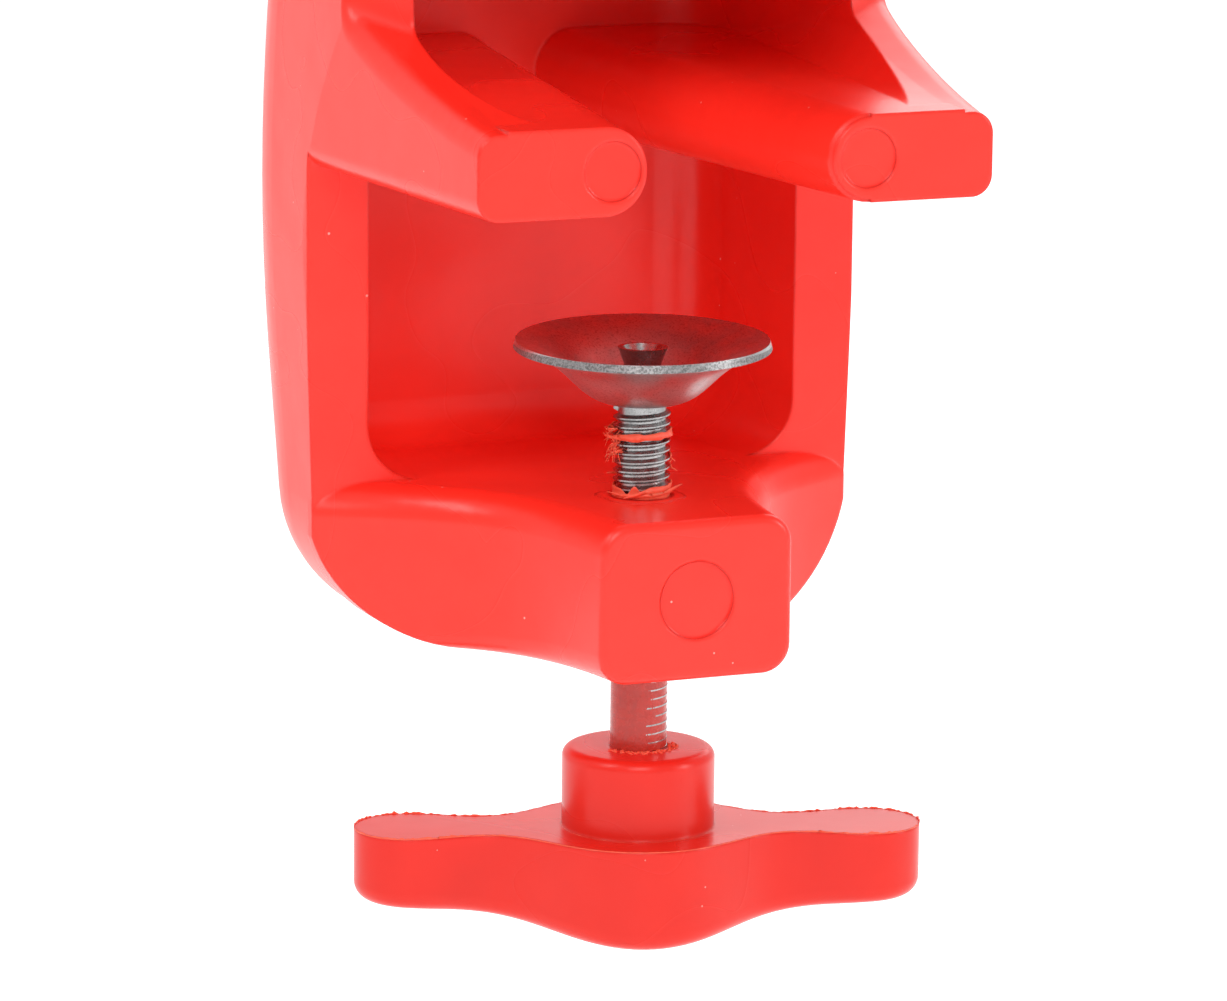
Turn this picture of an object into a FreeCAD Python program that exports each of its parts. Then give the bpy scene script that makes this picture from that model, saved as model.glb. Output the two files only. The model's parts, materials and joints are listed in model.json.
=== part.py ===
import FreeCAD, Part
import math
import os
from FreeCAD import Vector

# Hand crank meat grinder with a table clamp, in millimetres.
# +Z is up, the barrel runs along Y, its outlet faces -Y and its crank is on +Y.
# The origin is where the table's top edge meets the clamp: z = 0 is the underside of the two prongs,
# y = 0 is the plane of the column's front rims, and x = 0 is the middle of the clamp.

# ---- Driving dimensions ----------------------------------------------------------------------------
# Column shell, open to the front
COLUMN_HALF_WIDTH = 41.7        # at the prongs' underside
COLUMN_TAPER = 0.6              # each side loses this much down to the very bottom
COLUMN_WALL = 9.05
COLUMN_DEPTH = 38.0             # rim plane to the outside of the back
COLUMN_LEAN = 5.6               # the back loses this much down to the bottom
BACK_EXTRA = 1.5                # the back wall is this much thicker than the sides
COLUMN_CORNER = 23.2            # upright back corners
BASE_ROUNDING = 20.5            # bottom corners and bottom back edge
CAVITY_CORNER = 8.0             # upright back corners of the hollow
CAVITY_FLOOR_ROUNDING = 6.0     # where its back meets the jaw's top
CAVITY_DRAFT = 3.4              # each side wall thickens by this much towards the back

# Clamp
CLAMP_OPENING = 45.1            # prong underside to jaw top
JAW_THICKNESS = 22.5
JAW_REACH = 39.6                # rim plane to the jaw's tip face
JAW_TIP_HALF_WIDTH = 14.2
JAW_TIP_SHIFT = 0.9             # the tip stands this far towards +X
JAW_ROUNDING = 4.2              # top flank edges, and the bottom ones at the tip
JAW_ROOT_ROUNDING = 0.8         # bottom flank edges where they leave the column
JAW_TIP_ROUNDING = 1.1
PRONG_REACH = 53.7
PRONG_THICKNESS = 12.0
PRONG_ROOT_RISE = 2.3           # the prongs get this much thicker towards the back wall
PRONG_TIP_INNER = 13.4          # half the gap between the prongs at their tips
PRONG_ROOT_INNER = 2.8          # and at the back wall
PRONG_DRAFT = 4.3               # each prong's outer side comes in by this much at its tip
GUSSET_FRONT = 17.6             # the gussets' inner front edge stands this far before the rims
GUSSET_OUTER_FRONT = 8.5        # and their outer front edge this far
GUSSET_TOP = 24.5               # where the swept edge turns upright
GUSSET_ROUNDING = 3.0
COVE_RADIUS = 7.0               # hollow blend between a prong's top and its gusset
EJECTOR_MARK_RADIUS = 4.1
JAW_MARK_RADIUS = 5.5
MARK_DEPTH = 0.35
STEP_WIDTH = 0.45               # mould step round the right-hand prong's inner end
STEP_DEPTH = 0.6
MARK_SHIFT = 0.8                # the right-hand prong's mark is off its middle

# Clamp screw: M8, with a riveted dish pad and a moulded wing handle
SCREW_RADIUS = 4.0
SCREW_THREAD_DEPTH = 0.64
SCREW_PITCH = 1.25
SCREW_FROM_RIMS = 21.4
SCREW_HOLE_CLEARANCE = 0.1
PAD_RADIUS = 18.0
PAD_SHEET = 1.1
PAD_HEIGHT = 8.9
PAD_RIM_DROP = 22.9             # below the prongs at rest
PAD_BOWL_RADIUS = 8.6
PAD_SEAT_WIDTH = 1.0            # flat ring round the pad's hole
PAD_TILT = 1.7                  # degrees that the loosely riveted pad hangs out of level
RIVET_STEP = 0.76               # screw root to the turned-down end
RIVET_HEIGHT = 8.0
PIVOT_CLEARANCE = 0.08
HANDLE_HUB_WALL = 6.75
HANDLE_HUB_HEIGHT = 11.4
HUB_GAP = 13.3                  # jaw bottom to hub top at rest
HANDLE_LENGTH = 80.0
HANDLE_END_THICKNESS = 10.2
HANDLE_MIDDLE_THICKNESS = 14.6
HANDLE_LOBE = 7.2               # half width of the wing's rounded ends
HANDLE_WAIST = 5.4
HANDLE_MIDDLE = 16.0            # half width at the hub
HANDLE_SOCKET = 4.0             # the screw reaches this far below the wing's top
HANDLE_TURN = -17.6             # degrees about +Z

# Barrel
BARREL_HEIGHT = 72.0            # barrel axis above the prongs' underside
BARREL_STEP = 3.7               # spigot to barrel
BARREL_FRONT = -31.0
BARREL_REAR_ROUNDING = 9.0
BORE_CLEARANCE = 0.8
REAR_WALL = 9.0
SPIGOT_WALL = 5.0
SPIGOT_LENGTH = 15.0
NECK_RISE = 56.0                # barrel axis to the neck's rim
THROAT_RADIUS = 18.6
SOCKET_STEP = 2.6               # throat to socket
NECK_WALL = 4.8
NECK_COLLAR = 2.5
NECK_COLLAR_HEIGHT = 5.0
SOCKET_DEPTH = 16.0

# Cutting set
PLATE_RADIUS = 27.0
PLATE_THICKNESS = 5.0
PLATE_PROUD = 1.0               # the plate stands before the spigot, so the nut bears on it
PLATE_HOLE = 4.6
PLATE_HOLE_SPACING = 6.6
PLATE_FIT = 0.3
KNIFE_TIP_GAP = 2.5             # knife tip to the plate's edge
KNIFE_ROOM = 1.0                # chamber behind the knife
KNIFE_HUB_WALL = 3.0
KNIFE_THICKNESS = 6.0
SQUARE_SIDE = 8.0
SQUARE_FIT = 0.05
PILOT_RADIUS = 3.4
PIN_RADIUS = 1.5
PIN_REACH = 5.0                 # the pin goes this far into the wall behind the plate
NOTCH_CLEARANCE = 0.3
NUT_LIP = 5.0
NUT_LIP_WIDTH = 4.5             # the lip covers this much of the plate's edge
NUT_WALL = 5.4
NUT_RIBS = 12
NUT_RIB_RADIUS = 4.0
NUT_PITCH = 3.0
NUT_THREAD_HEIGHT = 1.0
NUT_THREAD_CLEARANCE = 0.3
NUT_THREAD_START = 2.2          # barrel end to the first turn

# Auger and shaft
AUGER_RADIUS = 21.7
AUGER_CORE_WALL = 2.5
AUGER_GAP = 0.3                 # knife to auger
AUGER_PITCH = 21.0
FLIGHT_ROOT = 5.0
FLIGHT_CREST = 2.6
WASHER_THICKNESS = 1.5
SHAFT_SHOULDER = 0.34           # knife square's corner to the shaft
JOURNAL_SHOULDER = 0.64         # crank square's corner to the journal
JOURNAL_CLEARANCE = 0.06
BUSH_WALL = 2.5
BUSH_FLANGE_WIDTH = 3.5
BUSH_FLANGE = 2.0

# Crank
CRANK_LENGTH = 110.0
CRANK_THICKNESS = 9.0
CRANK_HUB_WALL = 6.5
CRANK_HUB_HEIGHT = 13.0
CRANK_END_RADIUS = 10.5
CRANK_GAP = 0.6                 # bush flange to hub
CRANK_CLEARANCE = 2.6           # hopper's lip to the arm
PANEL_MARGIN = 3.6
PANEL_DEPTH = 2.2
CRANK_SQUARE = 9.0
INSERT_WALL = 2.6
STUD_RADIUS = 3.0
STUD_ENGAGEMENT = 10.0
THUMB_HEAD_HEIGHT = 15.0
THUMB_SPAN = 36.0
THUMB_WING = 4.8                # thickness of the thumbscrew's wing
THUMB_STUD_SEAT = 9.0           # stud inside the head
THUMB_WASHER = 1.5
GRIP_LENGTH = 70.0
GRIP_RADIUS = 13.0
GRIP_AXLE_RADIUS = 4.0
GRIP_WASHER = 1.0
BOLT_SHANK_STEP = 0.5
BOLT_HEAD_STEP = 3.0
BOLT_HEAD_CLEARANCE = 0.4
BOLT_HEAD_DEPTH = 9.0           # grip's end to the underside of the bolt's head
BOLT_HEAD_HEIGHT = 3.5
CAP_DEPTH = 4.5

# Hopper and pusher
HOPPER_RADIUS = 49.0
HOPPER_HEIGHT = 40.0
HOPPER_WALL = 2.6
HOPPER_LIP = 1.0
HOPPER_FIT = 0.35
PUSHER_CLEARANCE = 0.8
PUSHER_LENGTH = 92.0
PUSHER_KNOB_RADIUS = 22.0
PUSHER_STEM_STEP = 5.3          # foot to stem
PUSHER_LIFT = 4.0               # the pusher's foot stays this far above the auger

# ---- Places worked out from the dimensions ----------------------------------------------------------
ORIGIN = Vector(0, 0, 0)
UP = Vector(0, 0, 1)
BACK = Vector(0, 1, 0)
FRONT = Vector(0, -1, 0)
RIGHT = Vector(1, 0, 0)
PAD_TILT_AXIS = Vector(12, -5, 0)
OVERLAP = 0.5                   # moulded features start this far inside the wall that they grow from

JAW_TOP = -CLAMP_OPENING
BASE = JAW_TOP - JAW_THICKNESS
COLUMN_BASE_HALF_WIDTH = COLUMN_HALF_WIDTH - COLUMN_TAPER
COLUMN_BASE_DEPTH = COLUMN_DEPTH - COLUMN_LEAN
CAVITY_HALF_WIDTH = COLUMN_HALF_WIDTH - COLUMN_WALL
BACK_WALL = COLUMN_DEPTH - COLUMN_WALL - BACK_EXTRA
PRONG_TIP_OUTER = COLUMN_HALF_WIDTH - PRONG_DRAFT
BARREL_AXIS = Vector(0, 0, BARREL_HEIGHT)
NECK_TOP = BARREL_HEIGHT + NECK_RISE

SCREW_Y = -SCREW_FROM_RIMS
SCREW_ROOT_RADIUS = SCREW_RADIUS - SCREW_THREAD_DEPTH
RIVET_RADIUS = SCREW_ROOT_RADIUS - RIVET_STEP
PAD_RIM = -PAD_RIM_DROP
PAD_SEAT = PAD_RIM - PAD_HEIGHT
HANDLE_HUB_RADIUS = SCREW_RADIUS + HANDLE_HUB_WALL
HUB_TOP = BASE - HUB_GAP
HANDLE_TOP = HUB_TOP - HANDLE_HUB_HEIGHT

CHAMBER_RADIUS = PLATE_RADIUS + PLATE_FIT
SPIGOT_RADIUS = CHAMBER_RADIUS + SPIGOT_WALL
BARREL_RADIUS = SPIGOT_RADIUS + BARREL_STEP
NUT_BORE_RADIUS = SPIGOT_RADIUS + NUT_THREAD_HEIGHT + NUT_THREAD_CLEARANCE
NUT_RADIUS = NUT_BORE_RADIUS + NUT_WALL
BORE_RADIUS = AUGER_RADIUS + BORE_CLEARANCE
SOCKET_RADIUS = THROAT_RADIUS + SOCKET_STEP
NECK_RADIUS = SOCKET_RADIUS + NECK_WALL
SHAFT_RADIUS = SQUARE_SIDE * math.sqrt(0.5) + SHAFT_SHOULDER
AUGER_CORE = SHAFT_RADIUS + AUGER_CORE_WALL
KNIFE_RADIUS = PLATE_RADIUS - KNIFE_TIP_GAP
JOURNAL_RADIUS = CRANK_SQUARE * math.sqrt(0.5) + JOURNAL_SHOULDER
BUSH_RADIUS = JOURNAL_RADIUS + BUSH_WALL
BUSH_FLANGE_RADIUS = BUSH_RADIUS + BUSH_FLANGE_WIDTH
INSERT_RADIUS = CRANK_SQUARE * math.sqrt(0.5) + INSERT_WALL
CRANK_HUB_RADIUS = INSERT_RADIUS + CRANK_HUB_WALL
BOLT_HEAD_RADIUS = GRIP_AXLE_RADIUS + BOLT_HEAD_STEP
BOLT_POCKET_RADIUS = BOLT_HEAD_RADIUS + BOLT_HEAD_CLEARANCE

SPIGOT_FRONT = BARREL_FRONT - SPIGOT_LENGTH
PLATE_FRONT = SPIGOT_FRONT - PLATE_PROUD
PLATE_REAR = PLATE_FRONT + PLATE_THICKNESS
PIN_OFFSET = UP * -(PLATE_RADIUS - 0.2)
PIN_END = PLATE_REAR + PIN_REACH
KNIFE_REAR = PLATE_REAR + KNIFE_THICKNESS
CHAMBER_REAR = KNIFE_REAR + KNIFE_ROOM
AUGER_FRONT = KNIFE_REAR + AUGER_GAP
ARM_FRONT = HOPPER_RADIUS + HOPPER_LIP + CRANK_CLEARANCE
CRANK_REAR = ARM_FRONT + CRANK_THICKNESS
CRANK_FRONT = CRANK_REAR - CRANK_HUB_HEIGHT
BUSH_END = CRANK_FRONT - CRANK_GAP
BARREL_REAR = BUSH_END - BUSH_FLANGE
REAR_WALL_FACE = BARREL_REAR - REAR_WALL
AUGER_REAR = REAR_WALL_FACE - WASHER_THICKNESS
SHAFT_END = CRANK_REAR - 0.5
THUMB_FRONT = CRANK_REAR + THUMB_WASHER
CRANK_END = BARREL_AXIS + UP * CRANK_LENGTH
GRIP_FRONT = CRANK_REAR + GRIP_WASHER
GRIP_REAR = GRIP_FRONT + GRIP_LENGTH


# ---- Helpers ----------------------------------------------------------------------------------------
def box(x0, x1, y0, y1, z0, z1):
    """Box between two opposite corners."""
    return Part.makeBox(x1 - x0, y1 - y0, z1 - z0, Vector(x0, y0, z0))


def rod(radius, start, end):
    """Solid cylinder from one point to another."""
    axis = end - start
    return Part.makeCylinder(radius, axis.Length, start, axis)


def tube(outer, inner, start, end):
    """Hollow cylinder from one point to another."""
    return rod(outer, start, end).cut(rod(inner, start, end))


def on_axis(y):
    """Point on the barrel axis."""
    return Vector(0, y, BARREL_HEIGHT)


def face_from(edges):
    """Flat face from a closed chain of edges."""
    return Part.Face(Part.Wire(Part.__sortEdges__(edges)))


def lines(points):
    """Straight edges through the points, left open."""
    return [Part.makeLine(a, b) for a, b in zip(points, points[1:])]


def polygon(points):
    """Flat face with straight edges."""
    return Part.Face(Part.makePolygon(points + [points[0]]))


def bezier(points):
    """Bezier edge over its control points."""
    curve = Part.BezierCurve()
    curve.setPoles(points)
    return curve.toShape()


def arc(start, middle, end):
    """Arc through three points."""
    return Part.Arc(start, middle, end).toShape()


def middle_of(edge):
    """Point halfway along an edge."""
    return edge.valueAt((edge.FirstParameter + edge.LastParameter) / 2)


def fillet_where(solid, radius, test):
    """Round the edges whose middle point passes the test."""
    chosen = [edge for edge in solid.Edges if test(edge, middle_of(edge))]
    return solid.makeFillet(radius, chosen)


def turned(profile, base, axis):
    """Solid of revolution of (radius, height) points about an axis that starts at base."""
    points = [Vector(radius, 0, height) for radius, height in profile]
    solid = polygon(points).revolve(ORIGIN, UP, 360)
    solid.Placement = FreeCAD.Placement(base, FreeCAD.Rotation(UP, axis))
    return solid


def thread_ridge(root, crest, pitch, length, base_width, crest_width, sink):
    """Helical ridge about +Z from z = 0. A crest smaller than the root makes an inside thread."""
    helix = Part.Wire(Part.makeHelix(pitch, length, root).Edges)
    inner = root - sink if crest > root else root + sink
    section = Part.makePolygon([
        Vector(inner, 0, -base_width / 2),
        Vector(inner, 0, base_width / 2),
        Vector(crest, 0, crest_width / 2),
        Vector(crest, 0, -crest_width / 2),
        Vector(inner, 0, -base_width / 2)])
    return helix.makePipeShell([section], True, True)


def placed(shape, base, axis=UP):
    """Copy with its +Z turned onto the axis and its origin moved to base."""
    copy = shape.copy()
    copy.Placement = FreeCAD.Placement(base, FreeCAD.Rotation(UP, axis))
    return copy


def mirrored(shape):
    """Copy on the other side of x = 0."""
    return shape.mirror(ORIGIN, RIGHT)


def save(shape, name):
    """Write one node."""
    shape.exportStep("parts/" + name + ".step")


# ---- Housing ----------------------------------------------------------------------------------------
def column_half_width(z):
    """Half width of the shell: it narrows to the barrel above the prongs and a little below them."""
    if z > 0:
        rise = z / BARREL_HEIGHT
        return COLUMN_HALF_WIDTH - (COLUMN_HALF_WIDTH - BARREL_RADIUS) * rise ** 1.5
    return COLUMN_HALF_WIDTH - (COLUMN_HALF_WIDTH - COLUMN_BASE_HALF_WIDTH) * z / BASE


def column_depth(z):
    """Depth of the shell behind the rim plane."""
    if z > 0:
        return COLUMN_DEPTH
    return COLUMN_DEPTH - (COLUMN_DEPTH - COLUMN_BASE_DEPTH) * z / BASE


def column_section(z):
    """Level outline of the shell: straight front and sides, round back corners."""
    width = column_half_width(z)
    depth = column_depth(z)
    front = -PRONG_REACH - COLUMN_WALL
    straight = width - COLUMN_CORNER
    corner_y = depth - COLUMN_CORNER
    diagonal = COLUMN_CORNER * math.sqrt(0.5)
    edges = lines([Vector(-width, corner_y, z), Vector(-width, front, z),
                   Vector(width, front, z), Vector(width, corner_y, z)])
    edges.append(arc(Vector(width, corner_y, z),
                     Vector(straight + diagonal, corner_y + diagonal, z),
                     Vector(straight, depth, z)))
    edges += lines([Vector(straight, depth, z), Vector(-straight, depth, z)])
    edges.append(arc(Vector(-straight, depth, z),
                     Vector(-straight - diagonal, corner_y + diagonal, z),
                     Vector(-width, corner_y, z)))
    return Part.Wire(edges)


def side_profile(x, tip_height, mid_rise, turn, front):
    """Side view of the clamp at one x: rims, prong, swept gusset edge, upright front and back."""
    turn_y, turn_z = turn
    swept = [Vector(x, -PRONG_REACH, tip_height),
             Vector(x, -0.74 * PRONG_REACH, tip_height + mid_rise),
             Vector(x, turn_y - 8.5, turn_z - 4.0),
             Vector(x, turn_y, turn_z)]
    turn_up = [swept[3], swept[3] + (swept[3] - swept[2]) * 0.16,
               Vector(x, front, turn_z + 2.0), Vector(x, front, turn_z + 5.0)]
    back = COLUMN_DEPTH + COLUMN_WALL
    edges = [bezier(swept), bezier(turn_up)]
    edges += lines([turn_up[3], Vector(x, front, BARREL_HEIGHT), Vector(x, back, BARREL_HEIGHT),
                    Vector(x, back, BASE), Vector(x, 0, BASE), Vector(x, 0, 0),
                    Vector(x, -PRONG_REACH, 0), swept[0]])
    return Part.Wire(edges)


def side_outline():
    """Side view over the full width: the gussets' front edge leans back from its inside to its outside."""
    inner = CAVITY_HALF_WIDTH
    outer = COLUMN_HALF_WIDTH + 1
    inner_turn = (-GUSSET_FRONT - 1.6, GUSSET_TOP - 4.5)
    outer_turn = (-GUSSET_OUTER_FRONT - 2.4, GUSSET_TOP - 1.5)
    wires = []
    for x in (-outer, -inner, inner, outer):
        if abs(x) == inner:
            wires.append(side_profile(x, PRONG_THICKNESS - 0.5, 1.5, inner_turn, -GUSSET_FRONT))
        else:
            wires.append(side_profile(x, PRONG_THICKNESS, 2.6, outer_turn, -GUSSET_OUTER_FRONT))
    return Part.makeLoft(wires, True, True)


def prong_draft():
    """Plan wedge that narrows the gussets and prongs from the rim plane to the tips."""
    back = COLUMN_DEPTH + COLUMN_WALL
    slope = (COLUMN_HALF_WIDTH - PRONG_TIP_OUTER) / PRONG_REACH
    wide = COLUMN_HALF_WIDTH + slope * back
    plan = polygon([Vector(-wide, back, BASE), Vector(-PRONG_TIP_OUTER, -PRONG_REACH, BASE),
                    Vector(PRONG_TIP_OUTER, -PRONG_REACH, BASE), Vector(wide, back, BASE)])
    return plan.extrude(UP * (BARREL_HEIGHT - BASE))


def clamp_fork():
    """Side view crossed with the drafted plan, with every outer edge before the rims rounded."""
    solid = side_outline().common(prong_draft())
    return fillet_where(solid, GUSSET_ROUNDING, lambda edge, middle: (
        abs(middle.x) > PRONG_TIP_OUTER - 1 and edge.BoundBox.YLength > 1
        and -PRONG_REACH < middle.y < -OVERLAP))


def clamp_shell():
    """Outside of the column with its gussets, before it is hollowed."""
    levels = [BASE, BASE / 2, 0, BARREL_HEIGHT / 3, 2 * BARREL_HEIGHT / 3, BARREL_HEIGHT]
    solid = Part.makeLoft([column_section(z) for z in levels], True, False)
    solid = fillet_where(solid, BASE_ROUNDING, lambda edge, middle: (
        abs(middle.z - BASE) < 0.01 and middle.y > -PRONG_REACH - COLUMN_WALL + 1))
    return solid.common(clamp_fork())


def cavity():
    """Space inside the column: open in front, floored by the jaw's top, roofed by the barrel."""
    width = CAVITY_HALF_WIDTH
    back_width = width - CAVITY_DRAFT
    front = -PRONG_REACH - COLUMN_WALL
    plan = polygon([Vector(-width, front, JAW_TOP), Vector(width, front, JAW_TOP), Vector(width, 0, JAW_TOP),
                    Vector(back_width, BACK_WALL, JAW_TOP), Vector(-back_width, BACK_WALL, JAW_TOP),
                    Vector(-width, 0, JAW_TOP)])
    solid = plan.extrude(UP * (BARREL_HEIGHT - JAW_TOP))
    solid = fillet_where(solid, CAVITY_FLOOR_ROUNDING, lambda edge, middle: (
        abs(middle.z - JAW_TOP) < 0.01 and abs(middle.y - BACK_WALL) < 0.01))
    solid = fillet_where(solid, CAVITY_CORNER, lambda edge, middle: (
        middle.y > BACK_WALL - 0.01 and abs(middle.x) > 1
        and JAW_TOP + 1 < middle.z < BARREL_HEIGHT - 1))
    return solid.cut(rod(BARREL_RADIUS - OVERLAP, on_axis(front), on_axis(BACK_WALL + COLUMN_WALL)))


def prong():
    """Right-hand prong: half-round inner side, rising a little to its root in the back wall."""
    outer = CAVITY_HALF_WIDTH + OVERLAP
    root = BACK_WALL + COLUMN_WALL / 2
    top = PRONG_THICKNESS + PRONG_ROOT_RISE
    plan = polygon([Vector(PRONG_TIP_INNER, -PRONG_REACH, 0), Vector(outer, -PRONG_REACH, 0),
                    Vector(outer, root, 0), Vector(PRONG_ROOT_INNER, root, 0)])
    solid = plan.extrude(UP * top)
    profile = polygon([Vector(0, -PRONG_REACH, 0), Vector(0, root, 0), Vector(0, root, top),
                       Vector(0, -PRONG_REACH, PRONG_THICKNESS)])
    solid = solid.common(profile.extrude(RIGHT * outer))
    rounding = PRONG_THICKNESS / 2 - 0.15
    return fillet_where(solid, rounding, lambda edge, middle: (
        middle.x < CAVITY_HALF_WIDTH - 3 and abs(edge.tangentAt(edge.FirstParameter).y) > 0.9))


def prong_cove():
    """Concave blend between the right-hand prong's top and its gusset."""
    radius = COVE_RADIUS
    wall = CAVITY_HALF_WIDTH + OVERLAP
    floor = PRONG_THICKNESS - OVERLAP
    corner = box(wall - radius - OVERLAP, wall, -PRONG_REACH + GUSSET_ROUNDING, BACK_WALL,
                 floor, floor + radius + OVERLAP)
    centre = Vector(CAVITY_HALF_WIDTH - radius, 0, PRONG_THICKNESS + radius)
    hollow = rod(radius, Vector(centre.x, -PRONG_REACH, centre.z), Vector(centre.x, BACK_WALL, centre.z))
    side = box(centre.x - 2 * radius, centre.x, -PRONG_REACH, BACK_WALL, floor, centre.z + radius)
    return corner.cut(hollow).cut(side).common(side_outline())


def jaw():
    """Lower jaw: its flanks sweep in from the column's full width to a blunt tip."""
    root = COLUMN_HALF_WIDTH - 0.7

    def flank(side):
        """Curved plan edge on one side, from the rim plane to the tip."""
        tip = side * JAW_TIP_HALF_WIDTH + JAW_TIP_SHIFT
        return [Vector(side * root, 0, BASE), Vector(side * root / 2, -0.26 * JAW_REACH, BASE),
                Vector(tip + side * 2, -0.45 * JAW_REACH, BASE), Vector(tip, -JAW_REACH, BASE)]

    right = flank(1)
    left = flank(-1)
    edges = [bezier(right), bezier(left)]
    edges += lines([right[3], left[3]])
    edges += lines([right[0], Vector(root, 2, BASE), Vector(-root, 2, BASE), left[0]])
    solid = face_from(edges).extrude(UP * JAW_THICKNESS)

    def along_flank(edge, middle, level):
        """True for the curved edge of one flank at the given height."""
        reaches_tip = abs(edge.BoundBox.YMin + JAW_REACH) < 0.01 and middle.y > -JAW_REACH + 1
        return reaches_tip and abs(middle.z - level) < 0.01

    solid = fillet_where(solid, JAW_ROUNDING, lambda edge, middle: along_flank(edge, middle, JAW_TOP))
    for edge in [edge for edge in solid.Edges if along_flank(edge, middle_of(edge), BASE)]:
        place = middle_of(edge)
        same = [other for other in solid.Edges if middle_of(other).isEqual(place, 0.01)]
        radii = [JAW_ROOT_ROUNDING, JAW_ROUNDING]
        if edge.valueAt(edge.FirstParameter).y < edge.valueAt(edge.LastParameter).y:
            radii.reverse()
        solid = solid.makeFillet(*radii, same)
    return fillet_where(solid, JAW_TIP_ROUNDING, lambda edge, middle: (
        abs(middle.y + JAW_REACH) < 0.01 and edge.BoundBox.YLength < 0.01))


def barrel_outside():
    """Barrel, thread spigot and feed neck, still solid."""
    body = rod(BARREL_RADIUS, on_axis(BARREL_FRONT), on_axis(BARREL_REAR))
    body = fillet_where(body, BARREL_REAR_ROUNDING, lambda edge, middle: abs(middle.y - BARREL_REAR) < 0.01)
    spigot = rod(SPIGOT_RADIUS, on_axis(SPIGOT_FRONT), on_axis(BARREL_FRONT + OVERLAP))
    neck = rod(NECK_RADIUS, BARREL_AXIS, Vector(0, 0, NECK_TOP))
    collar = rod(NECK_RADIUS + NECK_COLLAR, Vector(0, 0, NECK_TOP - NECK_COLLAR_HEIGHT),
                 Vector(0, 0, NECK_TOP))
    return body.fuse([spigot, neck, collar])


def housing():
    """The one red moulding: clamp, column, barrel and feed neck."""
    solid = clamp_shell().cut(cavity())
    lower_jaw = jaw().common(base_outline())
    right_prong = prong()
    cove = prong_cove()
    additions = [lower_jaw, right_prong, mirrored(right_prong), cove, mirrored(cove), barrel_outside()]
    solid = solid.fuse(additions)
    thread_length = SPIGOT_LENGTH - NUT_THREAD_START - 2.0
    thread = thread_ridge(SPIGOT_RADIUS, SPIGOT_RADIUS + NUT_THREAD_HEIGHT, NUT_PITCH, thread_length,
                          1.5, 0.8, 0.4)
    solid = solid.fuse(placed(thread, on_axis(BARREL_FRONT - NUT_THREAD_START), FRONT))

    bore = rod(BORE_RADIUS, on_axis(CHAMBER_REAR - OVERLAP), on_axis(REAR_WALL_FACE))
    chamber = rod(CHAMBER_RADIUS, on_axis(SPIGOT_FRONT - 1), on_axis(CHAMBER_REAR))
    bush_hole = rod(BUSH_RADIUS, on_axis(REAR_WALL_FACE - 1), on_axis(BARREL_REAR + 1))
    throat = rod(THROAT_RADIUS, BARREL_AXIS, Vector(0, 0, NECK_TOP))
    socket = rod(SOCKET_RADIUS, Vector(0, 0, NECK_TOP - SOCKET_DEPTH), Vector(0, 0, NECK_TOP + 1))
    pin_hole = rod(PIN_RADIUS, on_axis(SPIGOT_FRONT - 1) + PIN_OFFSET, on_axis(PIN_END) + PIN_OFFSET)
    screw_hole = rod(SCREW_RADIUS + SCREW_HOLE_CLEARANCE, Vector(0, SCREW_Y, BASE - 1),
                     Vector(0, SCREW_Y, JAW_TOP + 1))
    solid = solid.cut([bore, chamber, bush_hole, throat, socket, pin_hole, screw_hole])
    return solid.cut(ejector_marks() + [tip_step()]).removeSplitter()


def base_outline():
    """Front view of the column's lower half as a long prism, with its round bottom corners."""
    width = COLUMN_HALF_WIDTH
    solid = box(-width, width, -PRONG_REACH, COLUMN_DEPTH, BASE, 0)
    return fillet_where(solid, BASE_ROUNDING, lambda edge, middle: (
        abs(middle.z - BASE) < 0.01 and abs(middle.x) > width - 0.01))


def ejector_marks():
    """Shallow round recesses that the mould's ejector pins leave on the tips."""
    centre_x = PRONG_TIP_INNER + PRONG_THICKNESS / 2 - 1.2
    height = PRONG_THICKNESS / 2
    marks = []
    for x in (-centre_x, centre_x + MARK_SHIFT):
        tip = Vector(x, -PRONG_REACH - 1, height)
        marks.append(rod(EJECTOR_MARK_RADIUS, tip, tip + BACK * (1 + MARK_DEPTH)))
    tip = Vector(0.8, -JAW_REACH - 1, JAW_TOP - JAW_THICKNESS / 2)
    marks.append(rod(JAW_MARK_RADIUS, tip, tip + BACK * (1 + MARK_DEPTH)))
    return marks


def tip_step():
    """Narrow step round the right-hand prong's inner end, where two halves of the mould meet."""
    radius = PRONG_THICKNESS / 2
    centre = Vector(PRONG_TIP_INNER + radius, -PRONG_REACH, radius)
    ring = tube(radius + 1, radius - STEP_WIDTH, centre + FRONT, centre + BACK * STEP_DEPTH)
    outer_half = box(centre.x, centre.x + 2 * radius, -PRONG_REACH - 2, 0, -1, 2 * radius + 1)
    return ring.cut(outer_half)


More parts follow.
